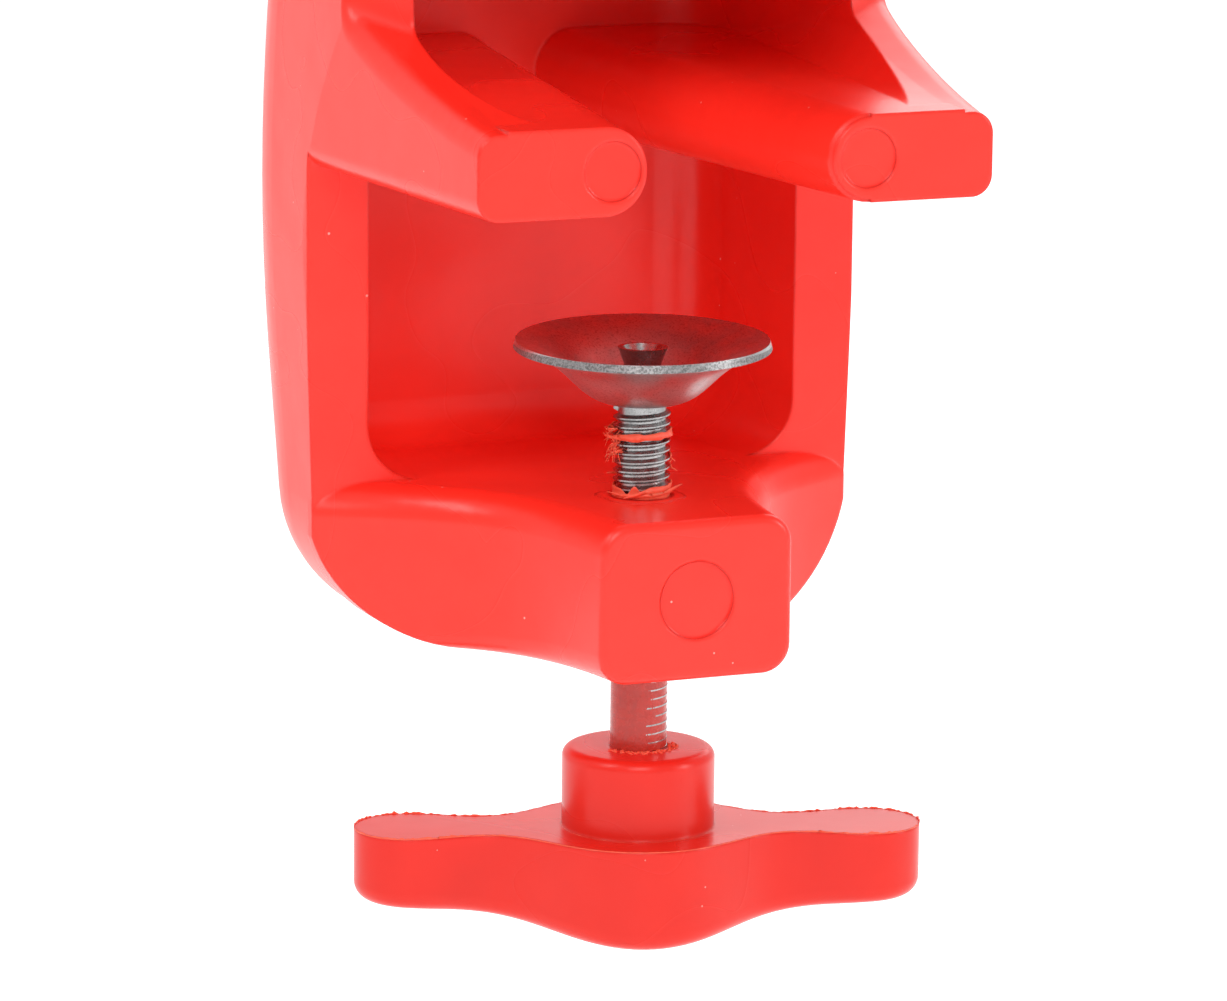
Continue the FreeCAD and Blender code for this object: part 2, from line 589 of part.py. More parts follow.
# ---- Clamp screw, pad and handle ---------------------------------------------------------------------
def clamp_screw():
    """Threaded screw whose upper end is turned down, passed through the pad and flared over it."""
    top = PAD_SEAT - 0.2
    bottom = HANDLE_TOP - HANDLE_SOCKET
    core = rod(SCREW_ROOT_RADIUS, Vector(0, SCREW_Y, bottom), Vector(0, SCREW_Y, top))
    length = top - bottom - SCREW_PITCH
    ridge = thread_ridge(SCREW_ROOT_RADIUS, SCREW_RADIUS, SCREW_PITCH, length, 1.12, 0.2, 0.12)
    core = core.fuse(placed(ridge, Vector(0, SCREW_Y, bottom + SCREW_PITCH / 2)))
    flare_base = PAD_SEAT + PAD_SHEET + 0.15
    rivet = turned([(0, -0.5), (RIVET_RADIUS, -0.5), (RIVET_RADIUS, RIVET_HEIGHT - 2.4),
                    (RIVET_RADIUS + 0.9, RIVET_HEIGHT), (RIVET_RADIUS + 0.2, RIVET_HEIGHT),
                    (RIVET_RADIUS - 1.0, RIVET_HEIGHT - 2.0), (RIVET_RADIUS - 1.0, RIVET_HEIGHT - 4.5),
                    (0, RIVET_HEIGHT - 5.2)], Vector(0, SCREW_Y, top), UP)
    collar = tube(RIVET_RADIUS + 1.6, RIVET_RADIUS - 0.5, Vector(0, SCREW_Y, flare_base),
                  Vector(0, SCREW_Y, flare_base + 1.0))
    return core.fuse([rivet, collar]).removeSplitter()


def clamp_pad():
    """Pressed dish: flat seat on the screw, round bowl and flared rim."""
    sheet = PAD_SHEET
    rise = PAD_HEIGHT
    bowl = PAD_BOWL_RADIUS
    outer_low = Vector(PAD_RADIUS, 0, rise - sheet)
    outer_high = Vector(PAD_RADIUS - 0.3, 0, rise)
    hole = RIVET_RADIUS + PIVOT_CLEARANCE
    seat = RIVET_RADIUS + PAD_SEAT_WIDTH
    below = bezier([Vector(seat, 0, 0), Vector(bowl + 1.5, 0, 0.1), Vector(bowl + 1.2, 0, rise - 2.6),
                    outer_low])
    above = bezier([Vector(seat, 0, sheet), Vector(bowl + 0.4, 0, sheet + 0.1),
                    Vector(bowl + 0.5, 0, rise - 1.3), outer_high])
    edges = [below, above]
    edges += lines([outer_low, outer_high])
    edges += lines([Vector(seat, 0, 0), Vector(hole, 0, 0), Vector(hole, 0, sheet),
                    Vector(seat, 0, sheet)])
    solid = placed(face_from(edges).revolve(ORIGIN, UP, 360), Vector(0, SCREW_Y, PAD_SEAT))
    solid.rotate(Vector(0, SCREW_Y, PAD_SEAT + sheet / 2), PAD_TILT_AXIS, PAD_TILT)
    return solid


def clamp_handle():
    """Moulded wing handle: wavy plan, wavy underside, round hub over the screw's end."""
    half = HANDLE_LENGTH / 2
    lobe = HANDLE_LOBE
    waist = HANDLE_WAIST
    middle = HANDLE_MIDDLE
    end = half - lobe

    def side(sign):
        """One long side of the plan, from the left lobe to the right one."""
        return bezier_chain([
            [(-end, lobe), (-end + 5, lobe), (-end + 7, waist), (-end + 11, waist)],
            [(-end + 11, waist), (-14, waist), (-11, middle), (0, middle)],
            [(0, middle), (11, middle), (14, waist), (end - 11, waist)],
            [(end - 11, waist), (end - 7, waist), (end - 5, lobe), (end, lobe)]], sign)

    edges = side(1) + side(-1)
    for sign in (-1, 1):
        edges.append(arc(Vector(sign * end, lobe, 0), Vector(sign * half, 0, 0),
                         Vector(sign * end, -lobe, 0)))
    plan = face_from(edges).extrude(UP * -(HANDLE_MIDDLE_THICKNESS + 1))

    low = -HANDLE_MIDDLE_THICKNESS
    tip = -HANDLE_END_THICKNESS
    under = [Vector(-half - 2, -half, 1), Vector(-half - 2, -half, tip)]
    reach = half * 0.55
    left = bezier([under[1], Vector(-reach, -half, tip), Vector(-reach / 2, -half, low),
                   Vector(0, -half, low)])
    right = bezier([Vector(0, -half, low), Vector(reach / 2, -half, low), Vector(reach, -half, tip),
                    Vector(half + 2, -half, tip)])
    side_view = lines(under) + [left, right]
    side_view += lines([Vector(half + 2, -half, tip), Vector(half + 2, -half, 1), under[0]])
    wing = plan.common(face_from(side_view).extrude(BACK * HANDLE_LENGTH))
    wing = fillet_where(wing, 2.6, lambda edge, point: point.z < tip + 0.4)

    hub = rod(HANDLE_HUB_RADIUS, Vector(0, 0, -OVERLAP), Vector(0, 0, HANDLE_HUB_HEIGHT))
    hub = fillet_where(hub, 1.4, lambda edge, point: abs(point.z - HANDLE_HUB_HEIGHT) < 0.01)
    solid = wing.fuse(hub)
    hole = rod(SCREW_RADIUS, Vector(0, 0, -HANDLE_SOCKET), Vector(0, 0, HANDLE_HUB_HEIGHT + 1))
    solid = solid.cut(hole)
    solid.Placement = FreeCAD.Placement(Vector(0, SCREW_Y, HANDLE_TOP), FreeCAD.Rotation(UP, HANDLE_TURN))
    return solid


def bezier_chain(spans, sign):
    """Bezier edges over spans of (x, y) control points, with y multiplied by the sign."""
    return [bezier([Vector(x, sign * y, 0) for x, y in span]) for span in spans]


# ---- Cutting set -------------------------------------------------------------------------------------
def plate_pin():
    """Steel pin in the chamber wall that keeps the plate from turning."""
    return rod(PIN_RADIUS, on_axis(SPIGOT_FRONT) + PIN_OFFSET, on_axis(PIN_END) + PIN_OFFSET)


def grinding_plate():
    """Perforated disc with a centre hole for the shaft's pilot and a notch for the pin."""
    plate = rod(PLATE_RADIUS, on_axis(PLATE_FRONT), on_axis(PLATE_REAR))
    holes = [rod(PILOT_RADIUS + JOURNAL_CLEARANCE, on_axis(PLATE_FRONT - 1), on_axis(PLATE_REAR + 1))]
    limit = PLATE_RADIUS - PLATE_HOLE / 2 - 2.0
    nearest = PILOT_RADIUS + PLATE_HOLE / 2 + 1.5
    count = int(limit / PLATE_HOLE_SPACING) + 1
    row_height = PLATE_HOLE_SPACING * math.sqrt(0.75)
    for row in range(-count - 1, count + 2):
        for column in range(-count - 1, count + 2):
            across = (column + 0.5 * (row % 2)) * PLATE_HOLE_SPACING
            height = row * row_height
            if nearest < math.hypot(across, height) < limit:
                start = on_axis(PLATE_FRONT - 1) + Vector(across, 0, height)
                holes.append(rod(PLATE_HOLE / 2, start, start + BACK * (PLATE_THICKNESS + 2)))
    notch_radius = PIN_RADIUS + NOTCH_CLEARANCE
    holes.append(rod(notch_radius, on_axis(PLATE_FRONT - 1) + PIN_OFFSET,
                     on_axis(PLATE_REAR + 1) + PIN_OFFSET))
    return plate.cut(holes)


def cross_knife():
    """Four-winged knife with ground front edges and a square hole."""
    hub = rod(SHAFT_RADIUS + KNIFE_HUB_WALL, on_axis(PLATE_REAR), on_axis(KNIFE_REAR))
    wing = polygon([Vector(0, 0, -5.2), Vector(KNIFE_RADIUS, 0, -3.6), Vector(KNIFE_RADIUS, 0, 2.2),
                    Vector(0, 0, 5.2)]).extrude(BACK * KNIFE_THICKNESS)
    relief = polygon([Vector(-1, 2.4, 5.3), Vector(-1, KNIFE_THICKNESS + 1, 5.3),
                      Vector(-1, KNIFE_THICKNESS + 1, -2.6)]).extrude(RIGHT * (KNIFE_RADIUS + 2))
    wing = wing.cut(relief)
    wing.translate(on_axis(PLATE_REAR))
    wings = []
    for quarter in range(4):
        turned_wing = wing.copy()
        turned_wing.rotate(BARREL_AXIS, BACK, 90 * quarter)
        wings.append(turned_wing)
    solid = hub.fuse(wings)
    half = SQUARE_SIDE / 2 + SQUARE_FIT
    square = box(-half, half, PLATE_REAR - 1, KNIFE_REAR + 1, BARREL_HEIGHT - half, BARREL_HEIGHT + half)
    return solid.cut(square).removeSplitter()


def ring_nut():
    """Ribbed nut: its lip bears on the plate and its inside thread runs on the spigot."""
    front = PLATE_FRONT - NUT_LIP
    rear = BARREL_FRONT - 1.5
    body = rod(NUT_RADIUS - 1.5, on_axis(front), on_axis(rear))
    body = fillet_where(body, 2.0, lambda edge, middle: abs(middle.y - front) < 0.01)
    ribs = []
    for index in range(NUT_RIBS):
        angle = 2 * math.pi * index / NUT_RIBS
        offset = Vector(math.cos(angle), 0, math.sin(angle)) * (NUT_RADIUS - NUT_RIB_RADIUS)
        ribs.append(rod(NUT_RIB_RADIUS, on_axis(front + 2.5) + offset, on_axis(rear) + offset))
    body = body.fuse(ribs)
    bore = rod(NUT_BORE_RADIUS, on_axis(PLATE_FRONT), on_axis(rear + 1))
    opening = rod(PLATE_RADIUS - NUT_LIP_WIDTH, on_axis(front - 1), on_axis(PLATE_FRONT + 1))
    body = body.cut([bore, opening])
    body.rotate(BARREL_AXIS, BACK, 180 / NUT_RIBS)
    thread_length = SPIGOT_LENGTH - NUT_THREAD_START - NUT_PITCH - 0.8
    ridge = thread_ridge(NUT_BORE_RADIUS, SPIGOT_RADIUS + NUT_THREAD_CLEARANCE, NUT_PITCH, thread_length,
                         1.2, 0.6, 0.4)
    start = BARREL_FRONT - NUT_THREAD_START - NUT_PITCH / 2 - 0.2
    return body.fuse(placed(ridge, on_axis(start), FRONT)).removeSplitter()


# ---- Auger, shaft and rear bearing -------------------------------------------------------------------
def auger_screw():
    """Moulded feed screw: core and one deep flight, round the steel shaft."""
    length = AUGER_REAR - AUGER_FRONT
    core = turned([(0, 0), (AUGER_CORE + 4.0, 0), (AUGER_CORE, length), (0, length)],
                  on_axis(AUGER_REAR), FRONT)
    travel = length - FLIGHT_ROOT - 1.0
    flight = thread_ridge(AUGER_CORE, AUGER_RADIUS, AUGER_PITCH, travel, FLIGHT_ROOT, FLIGHT_CREST, 1.5)
    solid = core.fuse(placed(flight, on_axis(AUGER_REAR - FLIGHT_ROOT / 2 - 0.5), FRONT))
    flange = rod(AUGER_RADIUS - 2, on_axis(AUGER_REAR - 3.0), on_axis(AUGER_REAR))
    solid = solid.fuse(flange)
    return solid.cut(rod(SHAFT_RADIUS, on_axis(AUGER_FRONT - 1), on_axis(AUGER_REAR + 1))).removeSplitter()


def auger_shaft():
    """Steel shaft: pilot, knife square, core, journal, crank square and tapped end."""
    half = SQUARE_SIDE / 2
    rear_half = CRANK_SQUARE / 2
    pilot = rod(PILOT_RADIUS, on_axis(PLATE_FRONT + 0.5), on_axis(PLATE_REAR + 1))
    square = box(-half, half, PLATE_REAR, AUGER_FRONT, BARREL_HEIGHT - half, BARREL_HEIGHT + half)
    core = rod(SHAFT_RADIUS, on_axis(AUGER_FRONT), on_axis(AUGER_REAR))
    journal = rod(JOURNAL_RADIUS, on_axis(AUGER_REAR), on_axis(BUSH_END))
    drive = box(-rear_half, rear_half, BUSH_END - 1, SHAFT_END, BARREL_HEIGHT - rear_half,
                BARREL_HEIGHT + rear_half)
    solid = pilot.fuse([square, core, journal, drive])
    tapped = rod(STUD_RADIUS + SQUARE_FIT, on_axis(SHAFT_END - STUD_ENGAGEMENT - 3), on_axis(SHAFT_END + 1))
    return solid.cut(tapped).removeSplitter()


def rear_bush():
    """Flanged bush pressed into the rear wall."""
    sleeve = rod(BUSH_RADIUS, on_axis(REAR_WALL_FACE), on_axis(BUSH_END))
    flange = rod(BUSH_FLANGE_RADIUS, on_axis(BARREL_REAR), on_axis(BUSH_END))
    hole = rod(JOURNAL_RADIUS + JOURNAL_CLEARANCE, on_axis(REAR_WALL_FACE - 1), on_axis(BUSH_END + 1))
    return sleeve.fuse(flange).cut(hole).removeSplitter()


def thrust_washer():
    """Washer between the auger and the rear wall."""
    return tube(BUSH_RADIUS + 5, JOURNAL_RADIUS + 0.3, on_axis(AUGER_REAR),
                on_axis(REAR_WALL_FACE - 0.1))


# ---- Crank -------------------------------------------------------------------------------------------
def crank_arm():
    """Moulded arm with a thick hub, a round end and a long shallow panel down its middle."""
    hub = rod(CRANK_HUB_RADIUS, on_axis(CRANK_FRONT), on_axis(CRANK_REAR))
    hub = fillet_where(hub, 1.5, lambda edge, middle: edge.Length > 50)
    hub_side = CRANK_HUB_RADIUS - 3.0
    end_side = CRANK_END_RADIUS - 1.5
    blade = polygon([Vector(-hub_side, ARM_FRONT, BARREL_HEIGHT), Vector(hub_side, ARM_FRONT, BARREL_HEIGHT),
                     Vector(end_side, ARM_FRONT, CRANK_END.z), Vector(-end_side, ARM_FRONT, CRANK_END.z)])
    blade = blade.extrude(BACK * CRANK_THICKNESS)
    blade = fillet_where(blade, 2.0, lambda edge, middle: (
        abs(edge.tangentAt(edge.FirstParameter).z) > 0.9))
    end_front = Vector(0, ARM_FRONT, CRANK_END.z)
    eye = rod(CRANK_END_RADIUS, end_front, end_front + BACK * CRANK_THICKNESS)
    eye = fillet_where(eye, 1.5, lambda edge, middle: edge.Length > 40)
    solid = hub.fuse([blade, eye])
    margin = PANEL_MARGIN
    low = BARREL_HEIGHT + CRANK_HUB_RADIUS + 3
    high = CRANK_END.z - CRANK_END_RADIUS - 3
    depth = PANEL_DEPTH
    for face in (ARM_FRONT - 1, CRANK_REAR - depth):
        panel = polygon([Vector(-hub_side + margin, face, low), Vector(hub_side - margin, face, low),
                         Vector(end_side - margin, face, high), Vector(-end_side + margin, face, high)])
        panel = panel.extrude(BACK * (depth + 1))
        panel = fillet_where(panel, 2.0, lambda edge, middle: (
            abs(edge.tangentAt(edge.FirstParameter).y) > 0.9))
        solid = solid.cut(panel)
    insert_hole = rod(INSERT_RADIUS, on_axis(CRANK_FRONT - 1), on_axis(CRANK_REAR + 1))
    axle_hole = rod(GRIP_AXLE_RADIUS - BOLT_SHANK_STEP, end_front - BACK,
                    end_front + BACK * (CRANK_THICKNESS + 1))
    return solid.cut([insert_hole, axle_hole]).removeSplitter()


def crank_insert():
    """Steel insert with the square hole, moulded into the hub."""
    half = CRANK_SQUARE / 2 + SQUARE_FIT
    body = rod(INSERT_RADIUS, on_axis(CRANK_FRONT), on_axis(CRANK_REAR))
    square = box(-half, half, CRANK_FRONT - 1, CRANK_REAR + 1, BARREL_HEIGHT - half, BARREL_HEIGHT + half)
    return body.cut(square)


def crank_washer():
    """Washer under the thumbscrew."""
    return tube(INSERT_RADIUS + 1.5, STUD_RADIUS + 0.3, on_axis(CRANK_REAR), on_axis(THUMB_FRONT))


def thumbscrew_stud():
    """Steel stud in the thumbscrew's head."""
    return rod(STUD_RADIUS, on_axis(SHAFT_END - STUD_ENGAGEMENT), on_axis(THUMB_FRONT + THUMB_STUD_SEAT))


def thumbscrew_head():
    """Moulded head with two wings."""
    hub = turned([(0, 0), (9.5, 0), (9.5, 4), (7, 8), (7, THUMB_HEAD_HEIGHT - 2), (5, THUMB_HEAD_HEIGHT),
                  (0, THUMB_HEAD_HEIGHT)], on_axis(THUMB_FRONT), BACK)
    half = THUMB_WING / 2
    wing = box(-THUMB_SPAN / 2, THUMB_SPAN / 2, THUMB_FRONT + 3, THUMB_FRONT + THUMB_HEAD_HEIGHT,
               BARREL_HEIGHT - half, BARREL_HEIGHT + half)
    wing = fillet_where(wing, 5.0, lambda edge, middle: abs(edge.tangentAt(edge.FirstParameter).z) > 0.9)
    wing = fillet_where(wing, 1.6, lambda edge, middle: abs(abs(middle.z - BARREL_HEIGHT) - half) < 0.01)
    hole = rod(STUD_RADIUS, on_axis(THUMB_FRONT - 1), on_axis(THUMB_FRONT + THUMB_STUD_SEAT))
    return hub.fuse(wing).cut(hole).removeSplitter()


def grip_axle():
    """Shoulder bolt: thin end in the arm, long bearing length, slotless head in the grip's end."""
    arm = Vector(0, ARM_FRONT, CRANK_END.z)
    shoulder = Vector(0, CRANK_REAR, CRANK_END.z)
    bearing_end = Vector(0, GRIP_REAR - BOLT_HEAD_DEPTH, CRANK_END.z)
    shank = rod(GRIP_AXLE_RADIUS - BOLT_SHANK_STEP, arm, shoulder + BACK)
    bearing = rod(GRIP_AXLE_RADIUS, shoulder, bearing_end)
    bolt_head = rod(BOLT_HEAD_RADIUS, bearing_end, bearing_end + BACK * BOLT_HEAD_HEIGHT)
    return shank.fuse([bearing, bolt_head]).removeSplitter()


def grip_washer():
    """Washer between the arm and the grip."""
    return tube(9.0, GRIP_AXLE_RADIUS + 0.1, Vector(0, CRANK_REAR, CRANK_END.z),
                Vector(0, GRIP_FRONT - 0.1, CRANK_END.z))


def crank_grip():
    """Turning grip: waisted near the arm, full in the middle, counterbored for the bolt's head."""
    length = GRIP_LENGTH
    full = GRIP_RADIUS
    outline = bezier([Vector(9.5, 0, 2), Vector(full - 2.5, 0, length * 0.3),
                      Vector(full + 2.6, 0, length * 0.7), Vector(full - 3, 0, length - 3)])
    edges = [outline]
    edges += lines([Vector(full - 3, 0, length - 3), Vector(full - 4.5, 0, length), Vector(0, 0, length),
                    ORIGIN, Vector(8.5, 0, 0), Vector(9.5, 0, 2)])
    solid = face_from(edges).revolve(ORIGIN, UP, 360)
    solid = placed(solid, Vector(0, GRIP_FRONT, CRANK_END.z), BACK)
    start = Vector(0, GRIP_FRONT - 1, CRANK_END.z)
    bearing = rod(GRIP_AXLE_RADIUS + JOURNAL_CLEARANCE, start, Vector(0, GRIP_REAR, CRANK_END.z))
    pocket = rod(BOLT_POCKET_RADIUS, Vector(0, GRIP_REAR - BOLT_HEAD_DEPTH - 0.1, CRANK_END.z),
                 Vector(0, GRIP_REAR + 1, CRANK_END.z))
    return solid.cut([bearing, pocket])


def grip_cap():
    """Press-in cap that closes the grip's end."""
    end = Vector(0, GRIP_REAR, CRANK_END.z)
    edge = BOLT_POCKET_RADIUS
    plug = rod(edge, end + FRONT * CAP_DEPTH, end)
    dome = turned([(0, 0), (edge + 0.6, 0), (edge, 1.0), (edge - 2.4, 1.9), (0, 2.3)], end, BACK)
    return plug.fuse(dome).removeSplitter()


# ---- Hopper and pusher -------------------------------------------------------------------------------
def hopper_tray():
    """Funnel whose spigot plugs into the feed neck and whose shoulder rests on its rim."""
    outer = SOCKET_RADIUS - HOPPER_FIT
    inner = THROAT_RADIUS
    top = HOPPER_HEIGHT
    wall = HOPPER_WALL
    shoulder = NECK_RADIUS
    outside = bezier([Vector(shoulder, 0, 0), Vector(shoulder + 2, 0, top * 0.42),
                      Vector(HOPPER_RADIUS - 1.5, 0, top * 0.3), Vector(HOPPER_RADIUS, 0, top)])
    inside = bezier([Vector(inner, 0, wall), Vector(shoulder, 0, top * 0.52),
                     Vector(HOPPER_RADIUS - wall - 2, 0, top * 0.38), Vector(HOPPER_RADIUS - wall, 0, top)])
    rim = [Vector(HOPPER_RADIUS, 0, top), Vector(HOPPER_RADIUS + HOPPER_LIP, 0, top + 1.2),
           Vector(HOPPER_RADIUS - 0.4, 0, top + 2.4), Vector(HOPPER_RADIUS - wall, 0, top)]
    bottom = -(SOCKET_DEPTH - 0.6)
    edges = [outside, inside]
    edges += lines(rim)
    edges += lines([Vector(shoulder, 0, 0), Vector(outer, 0, 0), Vector(outer, 0, bottom),
                    Vector(inner, 0, bottom), Vector(inner, 0, wall)])
    solid = face_from(edges).revolve(ORIGIN, UP, 360)
    return placed(solid, Vector(0, 0, NECK_TOP))


def feed_pusher():
    """Pusher: fitted foot, slimmer stem, stop flange and round knob."""
    foot = THROAT_RADIUS - PUSHER_CLEARANCE
    length = PUSHER_LENGTH
    stem = foot - PUSHER_STEM_STEP
    knob = PUSHER_KNOB_RADIUS
    profile = [(0, 0), (foot - 1, 0), (foot, 1), (foot, 9), (foot - 3, 11), (stem, 13), (stem, length - 24),
               (foot - 3, length - 21), (foot, length - 19), (foot, length - 14), (knob - 1, length - 12),
               (knob, length - 10), (knob, length - 6), (knob - 4, length - 2), (9, length), (0, length)]
    return turned(profile, Vector(0, 0, BARREL_HEIGHT + AUGER_RADIUS + PUSHER_LIFT), UP)


# ---- Write every node --------------------------------------------------------------------------------
NODES = {
    "housing": housing,
    "clamp_screw": clamp_screw,
    "clamp_pad": clamp_pad,
    "clamp_handle": clamp_handle,
    "rear_bush": rear_bush,
    "plate_pin": plate_pin,
    "grinding_plate": grinding_plate,
    "cross_knife": cross_knife,
    "ring_nut": ring_nut,
    "auger_screw": auger_screw,
    "auger_shaft": auger_shaft,
    "thrust_washer": thrust_washer,
    "crank_arm": crank_arm,
    "crank_insert": crank_insert,
    "crank_washer": crank_washer,
    "thumbscrew_head": thumbscrew_head,
    "thumbscrew_stud": thumbscrew_stud,
    "crank_grip": crank_grip,
    "grip_axle": grip_axle,
    "grip_washer": grip_washer,
    "grip_cap": grip_cap,
    "hopper_tray": hopper_tray,
    "feed_pusher": feed_pusher,
}

os.makedirs("parts", exist_ok=True)
for node, make in NODES.items():
    shape = make()
    print(node, "solids", len(shape.Solids), "valid", shape.isValid(), "volume", round(shape.Volume))
    save(shape, node)
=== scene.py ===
import json
import math
import random

import bmesh
import bpy
from mathutils import Matrix, Vector, noise


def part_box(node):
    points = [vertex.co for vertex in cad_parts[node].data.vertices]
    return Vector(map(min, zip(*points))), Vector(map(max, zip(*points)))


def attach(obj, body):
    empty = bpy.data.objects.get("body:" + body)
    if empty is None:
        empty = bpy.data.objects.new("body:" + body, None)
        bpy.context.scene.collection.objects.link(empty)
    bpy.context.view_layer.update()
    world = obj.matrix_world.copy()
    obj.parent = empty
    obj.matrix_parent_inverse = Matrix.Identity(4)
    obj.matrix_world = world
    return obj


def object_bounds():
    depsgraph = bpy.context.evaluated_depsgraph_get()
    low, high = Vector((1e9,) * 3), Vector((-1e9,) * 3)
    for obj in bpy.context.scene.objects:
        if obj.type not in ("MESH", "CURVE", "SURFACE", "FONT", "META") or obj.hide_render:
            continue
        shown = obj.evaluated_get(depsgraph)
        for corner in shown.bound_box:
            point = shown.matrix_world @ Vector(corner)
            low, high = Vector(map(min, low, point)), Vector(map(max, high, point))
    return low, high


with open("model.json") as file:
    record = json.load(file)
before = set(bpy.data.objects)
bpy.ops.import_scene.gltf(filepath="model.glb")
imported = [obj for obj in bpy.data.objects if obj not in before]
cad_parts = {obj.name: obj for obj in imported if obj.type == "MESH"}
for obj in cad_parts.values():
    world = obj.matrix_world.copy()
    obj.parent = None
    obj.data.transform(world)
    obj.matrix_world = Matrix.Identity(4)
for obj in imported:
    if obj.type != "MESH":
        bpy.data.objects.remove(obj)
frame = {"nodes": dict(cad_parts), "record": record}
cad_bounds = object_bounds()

# Hand crank meat grinder with a table clamp. Metres, in the frame of the CAD model: +Z up, the barrel along
# Y with its outlet at -Y, and the origin where the table's top edge meets the clamp. The script gives every
# CAD node its material, and adds the plastic shavings and flash that the clamp carries, and a brownish-red
# film on the screw below the jaw that is a painted reflection of the red plastic.
MM = 0.001

# ---- Camera, as fitted to the view of the clamp --------------------------------------------------------
CAMERA_AZIMUTH = math.radians(-22.736)
CAMERA_ELEVATION = math.radians(11.628)
CAMERA_ROLL = math.radians(0.582)
CAMERA_DISTANCE = 0.8673
CAMERA_TARGET = Vector((-3.592, -20.0, -45.83)) * MM
SENSOR = 36.0                   # in millimetres, as is the focal length
FOCAL_LENGTH = 182.48
NEAREST = 0.01                  # nothing closer to the camera is drawn

# ---- Surroundings --------------------------------------------------------------------------------------
FLOOR_DROP = 0.16               # the floor lies this far below the object, as it hangs on a table edge
FLOOR_SIZE = 14.0
FRONT_LIGHT = 0.50              # brightness of the surroundings before the object
REAR_LIGHT = 1.00               # and behind it, where the view is white
LIGHT_TURN = (-0.3, 0.7)        # Y of the directions between which the one turns into the other
FLOOR_GLOW = 0.42               # the floor is lit from below, like a light table
SOFTBOXES = (                   # name, place, width and height, power in watts
    ("key", (-0.45, -1.25, 0.80), (0.60, 0.60), 10.0),
    ("side", (-0.85, -0.20, 0.80), (0.30, 0.60), 4.0),
    ("fill", (0.95, -0.75, 0.25), (0.20, 0.45), 4.5),
    ("rear", (0.90, 1.10, 0.80), (0.90, 0.90), 5.0),
)


# ---- Places on the clamp, from the frame and from the CAD source ---------------------------------------
PAD_LOW, PAD_HIGH = (Vector(corner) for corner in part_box("clamp_pad"))
PAD_RADIUS = (PAD_HIGH.x - PAD_LOW.x) / 2
PAD_CUT_EDGE = 0.12 * MM            # depth of the dish's sheared edge, from its outside inwards
HANDLE_LOW, HANDLE_HIGH = (Vector(corner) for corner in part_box("clamp_handle"))
HANDLE_HUB_HEIGHT = 11.4 * MM       # of the hub above the wing
HUB_TOP = HANDLE_HIGH.z
WING_TOP = HUB_TOP - HANDLE_HUB_HEIGHT
SCREW_AXIS = Vector(((HANDLE_LOW.x + HANDLE_HIGH.x) / 2, (HANDLE_LOW.y + HANDLE_HIGH.y) / 2, 0))
SCREW_RADIUS = 4.0 * MM
THREAD_PITCH = 1.25 * MM
JAW_TOP = -45.1 * MM
JAW_BOTTOM = -67.6 * MM
JAW_TIP = -39.6 * MM                # Y of the jaw's tip face
PRONG_TIP = -53.7 * MM              # Y of the prongs' tip faces
SUNK = 0.14 * MM                    # the ridge round a prong's mark lies this far behind the tip face
PRONG_MARK_RADIUS = 4.1 * MM
JAW_MARK_RADIUS = 5.5 * MM
EJECTOR_MARKS = (                   # centre and radius
    (Vector((-18.2 * MM, PRONG_TIP + SUNK, 6.0 * MM)), PRONG_MARK_RADIUS),
    (Vector((19.0 * MM, PRONG_TIP + SUNK, 6.0 * MM)), PRONG_MARK_RADIUS),
    (Vector((0.8 * MM, JAW_TIP, (JAW_TOP + JAW_BOTTOM) / 2)), JAW_MARK_RADIUS),
)
UP = Vector((0, 0, 1))


def round_screw(angle, radius, height):
    """Point at an angle round the clamp screw, at a distance from its axis."""
    return Vector((SCREW_AXIS.x + radius * math.cos(angle),
                   SCREW_AXIS.y + radius * math.sin(angle),
                   height))


# ---- Node helpers --------------------------------------------------------------------------------------
BEVEL_SAMPLES = 6


